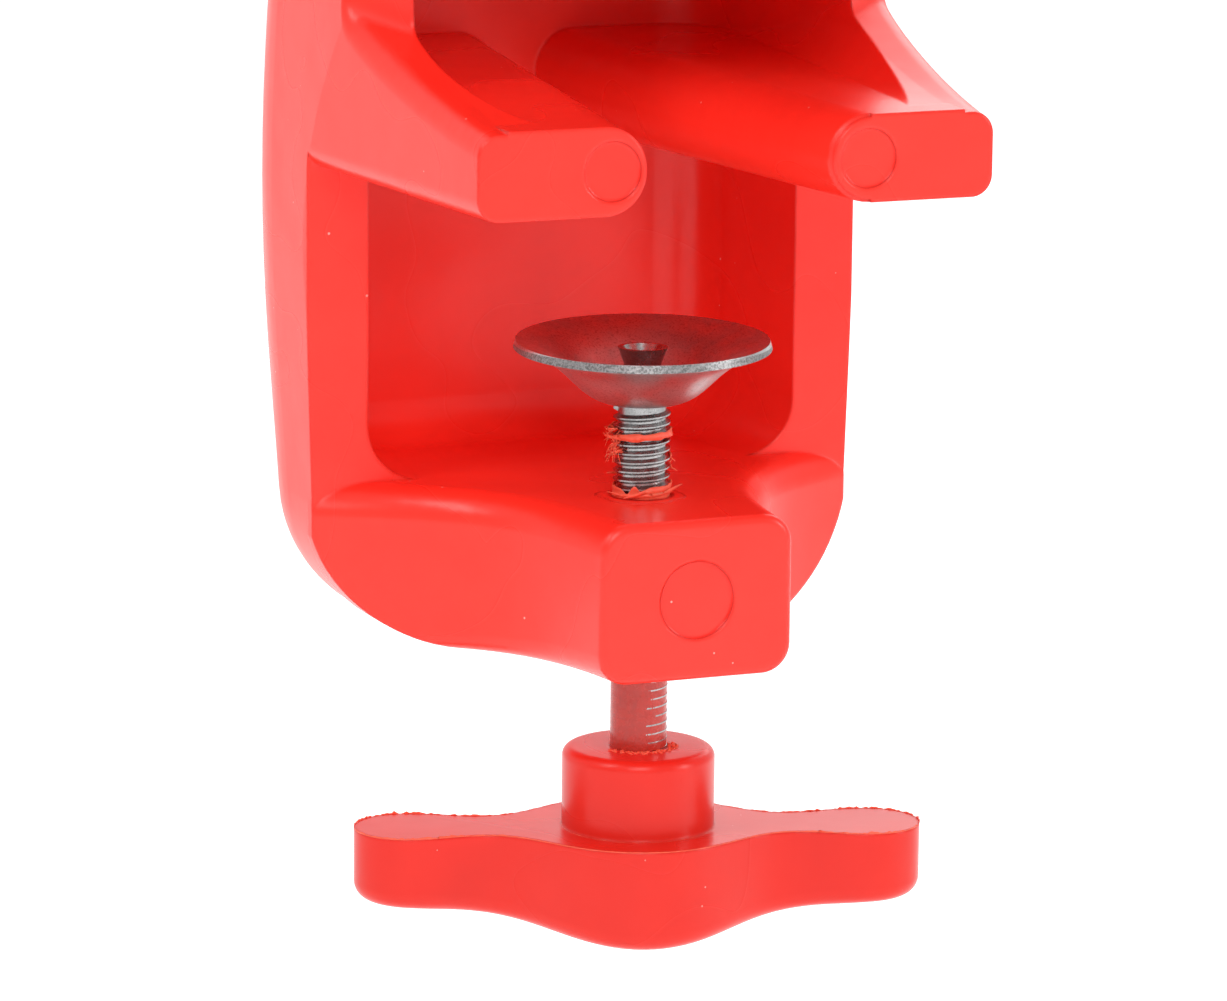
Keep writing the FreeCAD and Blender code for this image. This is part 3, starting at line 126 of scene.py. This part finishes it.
class Surface:
    """Builds one material: a Principled shader with procedural inputs in object space."""

    def __init__(self, name):
        self.material = bpy.data.materials.new(name)
        self.material.use_nodes = True
        self.tree = self.material.node_tree
        self.shader = self.tree.nodes["Principled BSDF"]
        self.place = self.tree.nodes.new("ShaderNodeTexCoord").outputs["Object"]

    def node(self, kind, **settings):
        """New node with its attributes set."""
        made = self.tree.nodes.new(kind)
        for key, value in settings.items():
            setattr(made, key, value)
        return made

    def link(self, source, target):
        """Link from an output socket to an input socket."""
        self.tree.links.new(source, target)

    def stretched(self, scale):
        """Object coordinates multiplied by a different factor on each axis."""
        mapping = self.node("ShaderNodeMapping")
        mapping.inputs["Scale"].default_value = scale
        self.link(self.place, mapping.inputs["Vector"])
        return mapping.outputs["Vector"]

    def noise(self, size, detail=3.0, roughness=0.55, stretch=None):
        """Noise whose features are about the given size in metres."""
        made = self.node("ShaderNodeTexNoise")
        made.inputs["Scale"].default_value = 1.0 / size
        made.inputs["Detail"].default_value = detail
        made.inputs["Roughness"].default_value = roughness
        self.link(self.stretched(stretch) if stretch else self.place, made.inputs["Vector"])
        return made.outputs["Fac"]

    def cells(self, size):
        """Distance to the nearest of scattered points, and that point's random colour."""
        made = self.node("ShaderNodeTexVoronoi")
        made.inputs["Scale"].default_value = 1.0 / size
        self.link(self.place, made.inputs["Vector"])
        return made.outputs["Distance"], made.outputs["Color"]

    def remap(self, value, low, high, start, end):
        """Value in low..high turned into start..end, and held at the nearer end outside it."""
        made = self.node("ShaderNodeMapRange")
        made.inputs["From Min"].default_value = low
        made.inputs["From Max"].default_value = high
        made.inputs["To Min"].default_value = start
        made.inputs["To Max"].default_value = end
        self.link(value, made.inputs["Value"])
        return made.outputs["Result"]

    def math(self, operation, first, second):
        """Math of a socket with a socket or a number."""
        made = self.node("ShaderNodeMath", operation=operation)
        self.link(first, made.inputs[0])
        if isinstance(second, (int, float)):
            made.inputs[1].default_value = second
        else:
            self.link(second, made.inputs[1])
        return made.outputs["Value"]

    def mix(self, factor, first, second):
        """Colour between two, each a colour or a socket."""
        made = self.node("ShaderNodeMix", data_type="RGBA")
        self.link(factor, made.inputs["Factor"])
        for socket, value in ((made.inputs[6], first), (made.inputs[7], second)):
            if isinstance(value, tuple):
                socket.default_value = (*value, 1.0)
            else:
                self.link(value, socket)
        return made.outputs[2]

    def specks(self, spacing, radius, share):
        """Sparse round specks, 1 inside and 0 outside, at the given share of scattered points."""
        distance, colour = self.cells(spacing)
        split = self.node("ShaderNodeSeparateColor")
        self.link(colour, split.inputs["Color"])
        chosen = self.math("LESS_THAN", split.outputs["Red"], share)
        size = self.math("MULTIPLY", split.outputs["Green"], radius / spacing)
        inside = self.math("LESS_THAN", distance, size)
        return self.math("MULTIPLY", chosen, inside)

    def bump(self, *layers, edge=None):
        """Bump layers of (height socket, depth in metres), over an optional rounded edge."""
        normal = None
        if edge:
            bevel = self.node("ShaderNodeBevel", samples=BEVEL_SAMPLES)
            bevel.inputs["Radius"].default_value = edge
            normal = bevel.outputs["Normal"]
        for height, depth in layers:
            made = self.node("ShaderNodeBump")
            made.inputs["Distance"].default_value = depth
            self.link(height, made.inputs["Height"])
            if normal:
                self.link(normal, made.inputs["Normal"])
            normal = made.outputs["Normal"]
        self.link(normal, self.shader.inputs["Normal"])

    def set(self, **values):
        """Constant inputs of the shader, with underscores for spaces."""
        for key, value in values.items():
            self.shader.inputs[key.replace("_", " ")].default_value = value

    def feed(self, name, socket):
        """Link from an output socket to a named input of the shader."""
        self.link(socket, self.shader.inputs[name])


# ---- Materials -----------------------------------------------------------------------------------------
def red_plastic(name, shade=1.0, shine=0.36, edge=0.8 * MM):
    """Glossy moulded plastic: warm red, faint flow streaks, mottling, dust specks, uneven gloss."""
    made = Surface(name)

    def tinted(*colour):
        return tuple(shade * channel for channel in colour)

    deep = tinted(0.86, 0.024, 0.0145)
    light = tinted(0.92, 0.032, 0.0175)
    dull = tinted(0.81, 0.020, 0.0125)
    dusty = (0.95, 0.50, 0.45)
    flow = made.noise(38 * MM, 3.0, 0.5, (1.0, 1.0, 0.35))
    mottle = made.noise(5 * MM, 4.0)
    colour = made.mix(made.remap(flow, 0.15, 0.85, 0.0, 1.0), deep, light)
    colour = made.mix(made.remap(mottle, 0.1, 0.9, 0.0, 0.5), colour, dull)
    dust = made.specks(3.0 * MM, 0.20 * MM, 0.30)
    colour = made.mix(made.math("MULTIPLY", dust, 0.60), colour, dusty)
    made.feed("Base Color", colour)
    made.feed("Roughness", made.remap(made.noise(26 * MM, 1.0), 0.0, 1.0, 0.20, 0.36))
    peel = made.noise(1.7 * MM, 2.0)
    wave = made.noise(16 * MM, 2.0)
    made.bump((wave, 0.22 * MM), (peel, 0.009 * MM), edge=edge)
    made.set(IOR=1.49, Specular_IOR_Level=shine)
    return made.material


def raw_plastic():
    """Freshly cut shavings and flash: duller, lighter and rougher than the moulded face."""
    made = Surface("raw_plastic")
    tone = made.noise(0.9 * MM, 4.0)
    made.feed("Base Color", made.mix(tone, (0.86, 0.050, 0.022), (0.92, 0.135, 0.070)))
    made.feed("Roughness", made.remap(tone, 0.3, 0.7, 0.42, 0.66))
    made.bump((made.noise(0.35 * MM, 3.0), 0.06 * MM))
    made.set(IOR=1.49, Subsurface_Weight=0.35, Subsurface_Radius=(1.0, 0.2, 0.1), Subsurface_Scale=1.0 * MM)
    return made.material


def painted_reflection_film():
    """Painted reflection of the red plastic in the steel screw, as a thin brownish-red skin: glossy, with
    faint turns in it.
    """
    made = Surface("painted_reflection_film")
    tone = made.noise(1.3 * MM, 4.0)
    # brownish red that is painted reflection of the red plastic in the steel
    made.feed("Base Color", made.mix(tone, (0.34, 0.022, 0.016), (0.55, 0.045, 0.028)))
    made.feed("Roughness", made.remap(tone, 0.3, 0.7, 0.18, 0.34))
    made.bump((made.noise(0.5 * MM, 3.0, 0.5, (0.3, 0.3, 1.0)), 0.03 * MM))
    made.set(IOR=1.49)
    return made.material


def white_plastic():
    """Off-white food plastic, a little chalky, with faint grey handling marks."""
    made = Surface("white_plastic")
    tone = made.noise(22 * MM, 4.0)
    colour = made.mix(tone, (0.62, 0.595, 0.53), (0.70, 0.685, 0.63))
    marks = made.remap(made.noise(3 * MM, 5.0, 0.7), 0.62, 0.78, 0.0, 0.35)
    colour = made.mix(marks, colour, (0.46, 0.43, 0.38))
    made.feed("Base Color", colour)
    made.feed("Roughness", made.remap(made.noise(9 * MM, 4.0), 0.3, 0.7, 0.34, 0.5))
    made.bump((made.noise(1.2 * MM, 3.0), 0.03 * MM), edge=0.6 * MM)
    made.set(IOR=1.5, Subsurface_Weight=0.15, Subsurface_Radius=(1.0, 0.9, 0.7), Subsurface_Scale=2 * MM)
    return made.material


def zinc_steel(name, cut_edge=None, polish=0.0, tone=1.0):
    """Bright zinc plate: fine grain, cloudy patches, and a dull sheared edge where cut_edge is given.

    That is an upright axis and the radius from it at which the sheared edge begins.
    """
    made = Surface(name)

    def grey(level):
        return (tone * level, tone * level * 0.99, tone * level * 0.99)

    cloud = made.noise(4.5 * MM, 5.0, 0.6)
    grain = made.noise(0.30 * MM, 3.0, 0.65)
    colour = made.mix(made.remap(cloud, 0.35, 0.7, 0.0, 1.0), grey(0.58), grey(0.44))
    colour = made.mix(made.remap(grain, 0.50, 0.70, 0.0, 0.75), colour, grey(0.24))
    rough = made.math("ADD", made.remap(cloud, 0.3, 0.7, 0.24 - polish, 0.36 - polish),
                      made.math("MULTIPLY", grain, 0.10))
    if cut_edge:
        axis, start = cut_edge
        offset = made.node("ShaderNodeVectorMath", operation="SUBTRACT")
        made.link(made.place, offset.inputs[0])
        offset.inputs[1].default_value = axis
        flat = made.node("ShaderNodeVectorMath", operation="MULTIPLY")
        made.link(offset.outputs["Vector"], flat.inputs[0])
        flat.inputs[1].default_value = (1.0, 1.0, 0.0)
        length = made.node("ShaderNodeVectorMath", operation="LENGTH")
        made.link(flat.outputs["Vector"], length.inputs[0])
        edge = made.remap(length.outputs["Value"], start, start + 0.02 * MM, 0.0, 1.0)
        sheared = made.mix(made.remap(grain, 0.40, 0.62, 0.0, 1.0), grey(0.36), grey(0.13))
        colour = made.mix(edge, colour, sheared)
        rough = made.math("ADD", rough, made.math("MULTIPLY", edge, 0.14))
    made.feed("Base Color", colour)
    made.feed("Roughness", rough)
    made.bump((made.noise(2.2 * MM, 2.0), 0.02 * MM), (grain, 0.007 * MM))
    made.set(Metallic=1.0)
    return made.material


def tool_steel():
    """Ground steel: straight grinding lines, slightly blue-grey, a few stains."""
    made = Surface("tool_steel")
    lines = made.noise(0.5 * MM, 3.0, 0.6, (0.06, 1.0, 1.0))
    stain = made.remap(made.noise(7 * MM, 5.0, 0.65), 0.55, 0.75, 0.0, 0.5)
    colour = made.mix(lines, (0.46, 0.47, 0.49), (0.66, 0.665, 0.67))
    made.feed("Base Color", made.mix(stain, colour, (0.34, 0.31, 0.28)))
    made.feed("Roughness", made.remap(lines, 0.3, 0.7, 0.22, 0.42))
    made.bump((lines, 0.02 * MM), edge=0.12 * MM)
    made.set(Metallic=1.0)
    return made.material


def bush_nylon():
    """Dark bearing nylon with a patchy, dull polish."""
    made = Surface("bush_nylon")
    tone = made.noise(2.4 * MM, 5.0)
    made.feed("Base Color", made.mix(tone, (0.030, 0.030, 0.032), (0.060, 0.060, 0.062)))
    made.feed("Roughness", made.remap(tone, 0.3, 0.7, 0.38, 0.6))
    made.bump((made.noise(0.5 * MM, 3.0), 0.03 * MM), edge=0.3 * MM)
    made.set(IOR=1.53)
    return made.material


def floor_white():
    """Matt pale studio floor that glows a little."""
    made = Surface("studio_floor")
    tone = made.noise(0.6, 2.0)
    made.feed("Base Color", made.mix(tone, (0.93, 0.93, 0.93), (0.95, 0.95, 0.95)))
    made.set(Roughness=0.9, Emission_Color=(1.0, 1.0, 1.0, 1.0), Emission_Strength=FLOOR_GLOW)
    return made.material


MATERIALS = {                       # by the material slot of the CAD record
    "red_plastic": red_plastic("red_plastic"),
    "white_plastic": white_plastic(),
    "zinc_steel": zinc_steel("zinc_steel"),
    "tool_steel": tool_steel(),
    "bush_nylon": bush_nylon(),
}
OWN_FINISH = {                      # nodes that look unlike the rest of their slot
    # the handle's red is made darker and less glossy than the rest of the red plastic
    "clamp_handle": red_plastic("handle_plastic", shade=0.73, shine=0.26),
    "clamp_pad": zinc_steel("pad_steel", cut_edge=(SCREW_AXIS, PAD_RADIUS - PAD_CUT_EDGE)),
    "clamp_screw": zinc_steel("screw_steel", polish=0.08, tone=0.72),
}
RAW = raw_plastic()
# painted red reflection of the plastic on the screw below the jaw
PAINTED_REFLECTION = painted_reflection_film()
# darker red for the ejector marks' rims: the ridge is real flash, its darker colour is painted shade along
# the rim
MARK_EDGE_PAINTED_SHADE = red_plastic("mark_ridge_painted_shade", shade=0.70, shine=0.30, edge=None)

for subpart in frame["record"]["subparts"]:
    node = frame["nodes"][subpart["node"]]
    node.data.materials.clear()
    node.data.materials.append(OWN_FINISH.get(subpart["node"], MATERIALS[subpart["material_slot"]]))


# ---- Mesh helpers --------------------------------------------------------------------------------------
def add_mesh(name, vertices, faces, material, smooth=True):
    """New object from vertices in metres."""
    mesh = bpy.data.meshes.new(name)
    mesh.from_pydata([tuple(v) for v in vertices], [], faces)
    mesh.validate()
    mesh.materials.append(material)
    if smooth:
        mesh.shade_smooth()
    made = bpy.data.objects.new(name, mesh)
    bpy.context.collection.objects.link(made)
    return made


def ribbon(path, across, half_widths, thickness):
    """Closed strip along a path, wide along the across vectors, and thinner where it is narrower."""
    thinnest = 0.35                 # share of the thickness that is left where the strip comes to a point
    vertices = []
    faces = []
    count = len(path)
    for index, point in enumerate(path):
        ahead = path[min(index + 1, count - 1)] - path[max(index - 1, 0)]
        side = across[index].normalized()
        normal = ahead.normalized().cross(side).normalized()
        width = half_widths[index]
        depth = thickness * (thinnest + (1 - thinnest) * width / max(half_widths)) / 2
        for u, v in ((-1, -1), (1, -1), (1, 1), (-1, 1)):
            vertices.append(point + side * width * u + normal * depth * v)
    for index in range(count - 1):
        base = 4 * index
        for corner in range(4):
            following = (corner + 1) % 4
            faces.append((base + corner, base + following, base + 4 + following, base + 4 + corner))
    faces.append((3, 2, 1, 0))
    faces.append(tuple(4 * (count - 1) + corner for corner in range(4)))
    return vertices, faces


def ring_faces(rings, around):
    """Faces between rings of vertices that close on themselves."""
    return [(ring * around + step, ring * around + (step + 1) % around,
             (ring + 1) * around + (step + 1) % around, (ring + 1) * around + step)
            for ring in range(rings) for step in range(around)]


def thickened(piece, thickness):
    """Gives a sheet its thickness, on the side away from its faces' normals."""
    shell = piece.modifiers.new("thickness", "SOLIDIFY")
    shell.thickness = thickness
    shell.offset = -1.0


def joined(parts):
    """One list of vertices and faces from several."""
    vertices = []
    faces = []
    for some_vertices, some_faces in parts:
        offset = len(vertices)
        vertices += some_vertices
        faces += [tuple(index + offset for index in face) for face in some_faces]
    return vertices, faces


# ---- Camera --------------------------------------------------------------------------------------------
def make_camera():
    """Long lens from the left and a little above, as the object was fitted."""
    back = Vector((math.sin(CAMERA_AZIMUTH) * math.cos(CAMERA_ELEVATION),
                   -math.cos(CAMERA_AZIMUTH) * math.cos(CAMERA_ELEVATION),
                   math.sin(CAMERA_ELEVATION)))
    data = bpy.data.cameras.new("camera")
    data.sensor_width = SENSOR
    data.lens = FOCAL_LENGTH
    data.clip_start = NEAREST
    data.dof.use_dof = False
    camera = bpy.data.objects.new("camera", data)
    bpy.context.collection.objects.link(camera)
    turn = back.to_track_quat("Z", "Y").to_matrix().to_4x4() @ Matrix.Rotation(CAMERA_ROLL, 4, "Z")
    camera.matrix_world = Matrix.Translation(CAMERA_TARGET + back * CAMERA_DISTANCE) @ turn
    bpy.context.scene.camera = camera


def softbox(name, place, size, power):
    """Rectangular area light that faces the clamp."""
    data = bpy.data.lights.new(name, "AREA")
    data.shape = "RECTANGLE"
    data.size, data.size_y = size
    data.energy = power
    lamp = bpy.data.objects.new(name, data)
    bpy.context.collection.objects.link(lamp)
    lamp.location = place
    lamp.rotation_euler = (CAMERA_TARGET - Vector(place)).to_track_quat("-Z", "Y").to_euler()


def make_surroundings():
    """Pale floor, white surroundings that are brighter behind the object, and the soft lights."""
    level = cad_bounds[0][2] - FLOOR_DROP
    half = FLOOR_SIZE / 2
    corners = [(-half, -half, level), (half, -half, level), (half, half, level), (-half, half, level)]
    floor = add_mesh("studio_floor", corners, [(0, 1, 2, 3)], floor_white(), smooth=False)
    world = bpy.data.worlds.new("studio")
    world.use_nodes = True
    tree = world.node_tree
    place = tree.nodes.new("ShaderNodeTexCoord")
    split = tree.nodes.new("ShaderNodeSeparateXYZ")
    tree.links.new(place.outputs["Generated"], split.inputs["Vector"])
    ramp = tree.nodes.new("ShaderNodeMapRange")
    ramp.interpolation_type = "SMOOTHSTEP"
    ramp.inputs["From Min"].default_value, ramp.inputs["From Max"].default_value = LIGHT_TURN
    ramp.inputs["To Min"].default_value = FRONT_LIGHT
    ramp.inputs["To Max"].default_value = REAR_LIGHT
    tree.links.new(split.outputs["Y"], ramp.inputs["Value"])
    tree.links.new(ramp.outputs["Result"], tree.nodes["Background"].inputs["Strength"])
    tree.nodes["Background"].inputs["Color"].default_value = (1.0, 1.0, 1.0, 1.0)
    bpy.context.scene.world = world
    for light in SOFTBOXES:
        softbox(*light)


make_camera()
make_surroundings()
bpy.context.scene.view_settings.view_transform = "Standard"


# ---- Plastic that the screw has cut and dragged out of the jaw, and a painted reflection on the screw ---
SHAVING_THICKNESS = 0.22 * MM
SHAVING_STAND_OFF = 0.10 * MM       # of its middle, from the thread's crests
LOOSE_START = 0.12                  # shares of a shaving's length that stand off the thread
LOOSE_END = 0.22
SHAVINGS = {                        # height, turns, start angle, half width, reach of the loose ends, seed
    "swarf_upper_curl": (
        (PAD_LOW.z - 4.6 * MM, 1.15, 2.6, 0.55 * MM, 1.5 * MM, 3),
        (PAD_LOW.z - 7.4 * MM, 0.16, 5.5, 0.16 * MM, 0.9 * MM, 5),
        (PAD_LOW.z - 9.0 * MM, 0.12, 5.7, 0.18 * MM, 1.0 * MM, 11),
    ),
    "swarf_lower_curl": (
        (JAW_TOP + 1.2 * MM, 0.72, 3.9, 0.55 * MM, 2.2 * MM, 8),
        (JAW_TOP + 0.5 * MM, 0.45, 3.2, 0.30 * MM, 1.4 * MM, 13),
    ),
}


def shaving(height, turns, start, half_width, stray, seed):
    """Curl of plastic that lies in the thread, with its ends standing off it."""
    rng = random.Random(seed)
    steps = int(26 * turns) + 8
    path = []
    across = []
    widths = []
    for index in range(steps):
        share = index / (steps - 1)
        angle = start + 2 * math.pi * turns * share
        loose = max(0.0, share - 1 + LOOSE_END) / LOOSE_END + max(0.0, LOOSE_START - share) / LOOSE_START
        radius = SCREW_RADIUS + SHAVING_STAND_OFF + stray * loose ** 1.6 * (0.8 + 0.4 * rng.random())
        lift = THREAD_PITCH * turns * share + 0.5 * MM * loose * math.sin(angle * 2.3 + seed)
        path.append(round_screw(angle, radius, height + lift))
        across.append(Vector((rng.uniform(-0.2, 0.2), rng.uniform(-0.2, 0.2), 1.0)))
        taper = min(1.0, 5.0 * share + 0.15, 5.0 * (1 - share) + 0.15)
        widths.append(half_width * taper * rng.uniform(0.65, 1.1))
    return ribbon(path, across, widths, SHAVING_THICKNESS)


def make_swarf():
    """Curls and short ends of plastic in the thread: some under the pad, some at the jaw's hole."""
    for name, rows in SHAVINGS.items():
        piece = add_mesh(name, *joined(shaving(*row) for row in rows), RAW)
        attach(piece, "clamp")


def make_painted_thread_reflection():
    """Painted red reflection on the screw below the jaw: a film that fills the thread, so that only its
    crests show.
    """
    bottom = HUB_TOP - 0.3 * MM
    top = JAW_BOTTOM + 0.4 * MM
    thickest = math.radians(205)    # the side of the screw where the painted reflection covers the crests too
    around = 72
    rings = 60
    vertices = []
    for ring in range(rings + 1):
        height = bottom + (top - bottom) * ring / rings
        for step in range(around):
            angle = 2 * math.pi * step / around
            bare = 0.5 - 0.5 * math.cos(angle - thickest)
            ragged = noise.noise(Vector((3 * math.cos(angle), 3 * math.sin(angle), height / MM * 0.9)))
            radius = SCREW_RADIUS + (0.07 - 0.17 * bare ** 0.7 + 0.035 * ragged) * MM
            vertices.append(round_screw(angle, radius, height))
    piece = add_mesh("painted_thread_reflection", vertices, ring_faces(rings, around), PAINTED_REFLECTION)
    thickened(piece, 0.25 * MM)
    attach(piece, "clamp")


def make_screw_skirt():
    """Torn skin of plastic that the screw has drawn up out of the jaw's hole."""
    bottom = JAW_TOP - 0.3 * MM
    around = 90
    rings = 10
    vertices = []
    for ring in range(rings + 1):
        share = ring / rings
        for step in range(around):
            angle = 2 * math.pi * step / around
            torn = noise.noise(Vector((2.2 * math.cos(angle), 2.2 * math.sin(angle), 4.0)))
            tall = (1.7 + 1.6 * torn) * MM
            crest = math.cos(2 * math.pi * (share * tall / THREAD_PITCH) - angle)
            ripple = noise.noise(Vector((5 * math.cos(angle), 5 * math.sin(angle), 3 * share)))
            radius = SCREW_RADIUS + (0.06 + 0.05 * crest + 0.05 * ripple) * MM
            vertices.append(round_screw(angle, radius, bottom + tall * share))
    piece = add_mesh("screw_skirt", vertices, ring_faces(rings, around), RAW)
    thickened(piece, 0.12 * MM)
    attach(piece, "clamp")


def make_hole_lip():
    """Low rippled rings that the screw has raised round the jaw's hole."""
    around = 96
    rings = 16
    inside = SCREW_RADIUS + 0.16 * MM
    reach = 2.4 * MM
    tallest = 0.24 * MM
    ripples = 2.5
    vertices = []
    for ring in range(rings + 1):
        share = ring / rings
        for step in range(around):
            angle = 2 * math.pi * step / around
            uneven = 0.75 + 0.5 * noise.noise(Vector((1.6 * math.cos(angle), 1.6 * math.sin(angle), 7.0)))
            wave = 0.5 + 0.5 * math.cos(2 * math.pi * ripples * share)
            height = tallest * uneven * (1 - share) ** 1.3 * (0.35 + 0.65 * wave) - 0.04 * MM
            vertices.append(round_screw(angle, inside + reach * share * uneven, JAW_TOP + height))
    piece = add_mesh("hole_lip", vertices, ring_faces(rings, around), MATERIALS["red_plastic"])
    thickened(piece, 0.10 * MM)
    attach(piece, "frame")


def make_tuft():
    """Fine strands of plastic that stand out of the thread beside the upper curl."""
    rng = random.Random(31)
    count = 36
    stride = 0.30 * MM
    half_width = 0.15 * MM
    strands = []
    for _ in range(count):
        angle = math.radians(rng.uniform(132, 205))
        outward = Vector((math.cos(angle), math.sin(angle), 0))
        tangent = Vector((-math.sin(angle), math.cos(angle), 0))
        point = round_screw(angle, SCREW_RADIUS - 0.25 * MM, PAD_LOW.z - rng.uniform(3.4, 7.4) * MM)
        heading = outward + tangent * rng.uniform(-0.8, 0.8) + UP * rng.uniform(-0.9, 0.5)
        path = []
        for _ in range(rng.randint(6, 11)):
            path.append(point)
            heading += tangent * rng.uniform(-0.8, 0.8) + UP * rng.uniform(-0.9, 0.6) - outward * 0.06
            point = point + heading.normalized() * stride
        widths = [half_width * (1.15 - index / len(path)) for index in range(len(path))]
        strands.append(ribbon(path, [UP + tangent * 0.3] * len(path), widths, 0.08 * MM))
    piece = add_mesh("swarf_tuft", *joined(strands), RAW)
    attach(piece, "clamp")


def sharp_loops(node, level):
    """Closed outlines of a node's flat top at a level, as lists of points."""
    same_point = 0.0005 * MM
    same_level = 0.002 * MM
    flat = 0.99                     # upward part of the normals on the two sides of an outline
    steep = 0.6
    fewest_points = 9
    shape = bmesh.new()
    shape.from_mesh(frame["nodes"][node].data)
    bmesh.ops.remove_doubles(shape, verts=shape.verts, dist=same_point)
    follow = {}
    for edge in shape.edges:
        if len(edge.link_faces) != 2 or any(abs(vert.co.z - level) > same_level for vert in edge.verts):
            continue
        slopes = sorted(face.normal.z for face in edge.link_faces)
        if slopes[1] > flat and slopes[0] < steep:
            first, second = edge.verts
            follow.setdefault(first, []).append(second)
            follow.setdefault(second, []).append(first)
    loops = []
    seen = set()
    for start in sorted(follow, key=lambda vert: tuple(vert.co)):
        if start in seen:
            continue
        loop = []
        vert = start
        while vert is not None:
            seen.add(vert)
            loop.append(vert.co.copy())
            vert = next((other for other in follow[vert] if other not in seen), None)
        if len(loop) >= fewest_points:
            loops.append(loop)
    shape.free()
    return loops


def resampled(loop, spacing):
    """Points at even spacing along a closed outline."""
    made = []
    carried = 0.0
    for index, point in enumerate(loop):
        following = loop[(index + 1) % len(loop)]
        length = (following - point).length
        while carried < length:
            made.append(point.lerp(following, carried / length))
            carried += spacing
        carried -= length
    return made


def make_flash():
    """Ragged fin of moulding flash along the wing's top outline, mostly at its two ends."""
    spacing = 0.35 * MM
    low_until = 14 * MM             # distance from the hub's axis where the fin starts to grow
    growth = 14 * MM                # and the distance over which it does
    lowest_share = 0.15
    fins = []
    for loop in sharp_loops("clamp_handle", WING_TOP):
        points = resampled(loop, spacing)
        count = len(points)
        vertices = []
        for index, point in enumerate(points):
            ahead = (points[(index + 1) % count] - points[index - 1]).normalized()
            outward = ahead.cross(UP)
            if outward.dot(point - SCREW_AXIS) < 0:
                outward = -outward
            from_hub = (Vector((point.x, point.y, 0)) - SCREW_AXIS).length
            share = min(1.0, max(lowest_share, (from_hub - low_until) / growth))
            rough = noise.noise(point / (1.1 * MM)) + 0.6 * noise.noise(point / (0.45 * MM))
            height = max(0.02, 0.14 + 0.34 * rough) * share * MM
            vertices.append(point - UP * 0.06 * MM - outward * 0.10 * MM)
            vertices.append(point + UP * height + outward * 0.35 * height)
            vertices.append(point - UP * 0.10 * MM + outward * 0.03 * MM)
        faces = []
        for index in range(count):
            here = 3 * index
            there = 3 * ((index + 1) % count)
            faces += [(here, there, there + 1, here + 1), (here + 1, there + 1, there + 2, here + 2),
                      (here + 2, there + 2, there, here)]
        fins.append((vertices, faces))
    piece = add_mesh("wing_flash", *joined(fins), RAW)
    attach(piece, "clamp")


def crumb(centre, size, rng):
    """Small ragged flake, flatter than it is wide."""
    rings = 4
    around = 6
    flatness = 0.6
    vertices = []
    for ring in range(rings + 1):
        from_pole = math.pi * ring / rings
        for step in range(around):
            longitude = 2 * math.pi * step / around
            reach = size * rng.uniform(0.55, 1.15)
            vertices.append(centre + Vector((
                reach * math.sin(from_pole) * math.cos(longitude),
                reach * math.sin(from_pole) * math.sin(longitude),
                flatness * reach * math.cos(from_pole))))
    return vertices, ring_faces(rings, around)


def make_mark_edges():
    """Fine uneven ridge of flash in the rim of each ejector-pin mark, in a darker red that is painted shade
    along the rim.
    """
    around = 120
    section = 8
    inset = 0.05 * MM
    rings = []
    for centre, radius in EJECTOR_MARKS:
        vertices = []
        for step in range(around):
            angle = 2 * math.pi * step / around
            outward = Vector((math.cos(angle), 0, math.sin(angle)))
            rough = noise.noise(Vector((3 * outward.x, centre.x / MM, 3 * outward.z)))
            thick = (0.085 + 0.05 * rough) * MM
            middle = centre + outward * (radius - inset)
            for corner in range(section):
                turn = 2 * math.pi * corner / section
                behind = Vector((0, thick * math.sin(turn), 0))
                vertices.append(middle + outward * thick * math.cos(turn) + behind)
        faces = []
        for step in range(around):
            here = step * section
            there = (step + 1) % around * section
            for corner in range(section):
                following = (corner + 1) % section
                faces.append((here + corner, here + following, there + following, there + corner))
        rings.append((vertices, faces))
    piece = add_mesh("ejector_mark_edges", *joined(rings), MARK_EDGE_PAINTED_SHADE)
    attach(piece, "frame")


def make_hub_burr():
    """Crumbs pressed up round the front of the screw where it enters the hub."""
    rng = random.Random(21)
    count = 56
    first_degrees = 200
    spread_degrees = 150
    level = HUB_TOP + 0.02 * MM
    crumbs = []
    for index in range(count):
        angle = math.radians(first_degrees + spread_degrees * index / (count - 1) + rng.uniform(-3, 3))
        radius = SCREW_RADIUS + rng.uniform(0.2, 1.6) * MM
        size = rng.uniform(0.22, 0.46) * MM
        crumbs.append(crumb(round_screw(angle, radius, level), size, rng))
    piece = add_mesh("hub_burr", *joined(crumbs), RAW)
    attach(piece, "clamp")


make_swarf()
make_tuft()
make_painted_thread_reflection()
make_screw_skirt()
make_hole_lip()
make_flash()
make_mark_edges()
make_hub_burr()
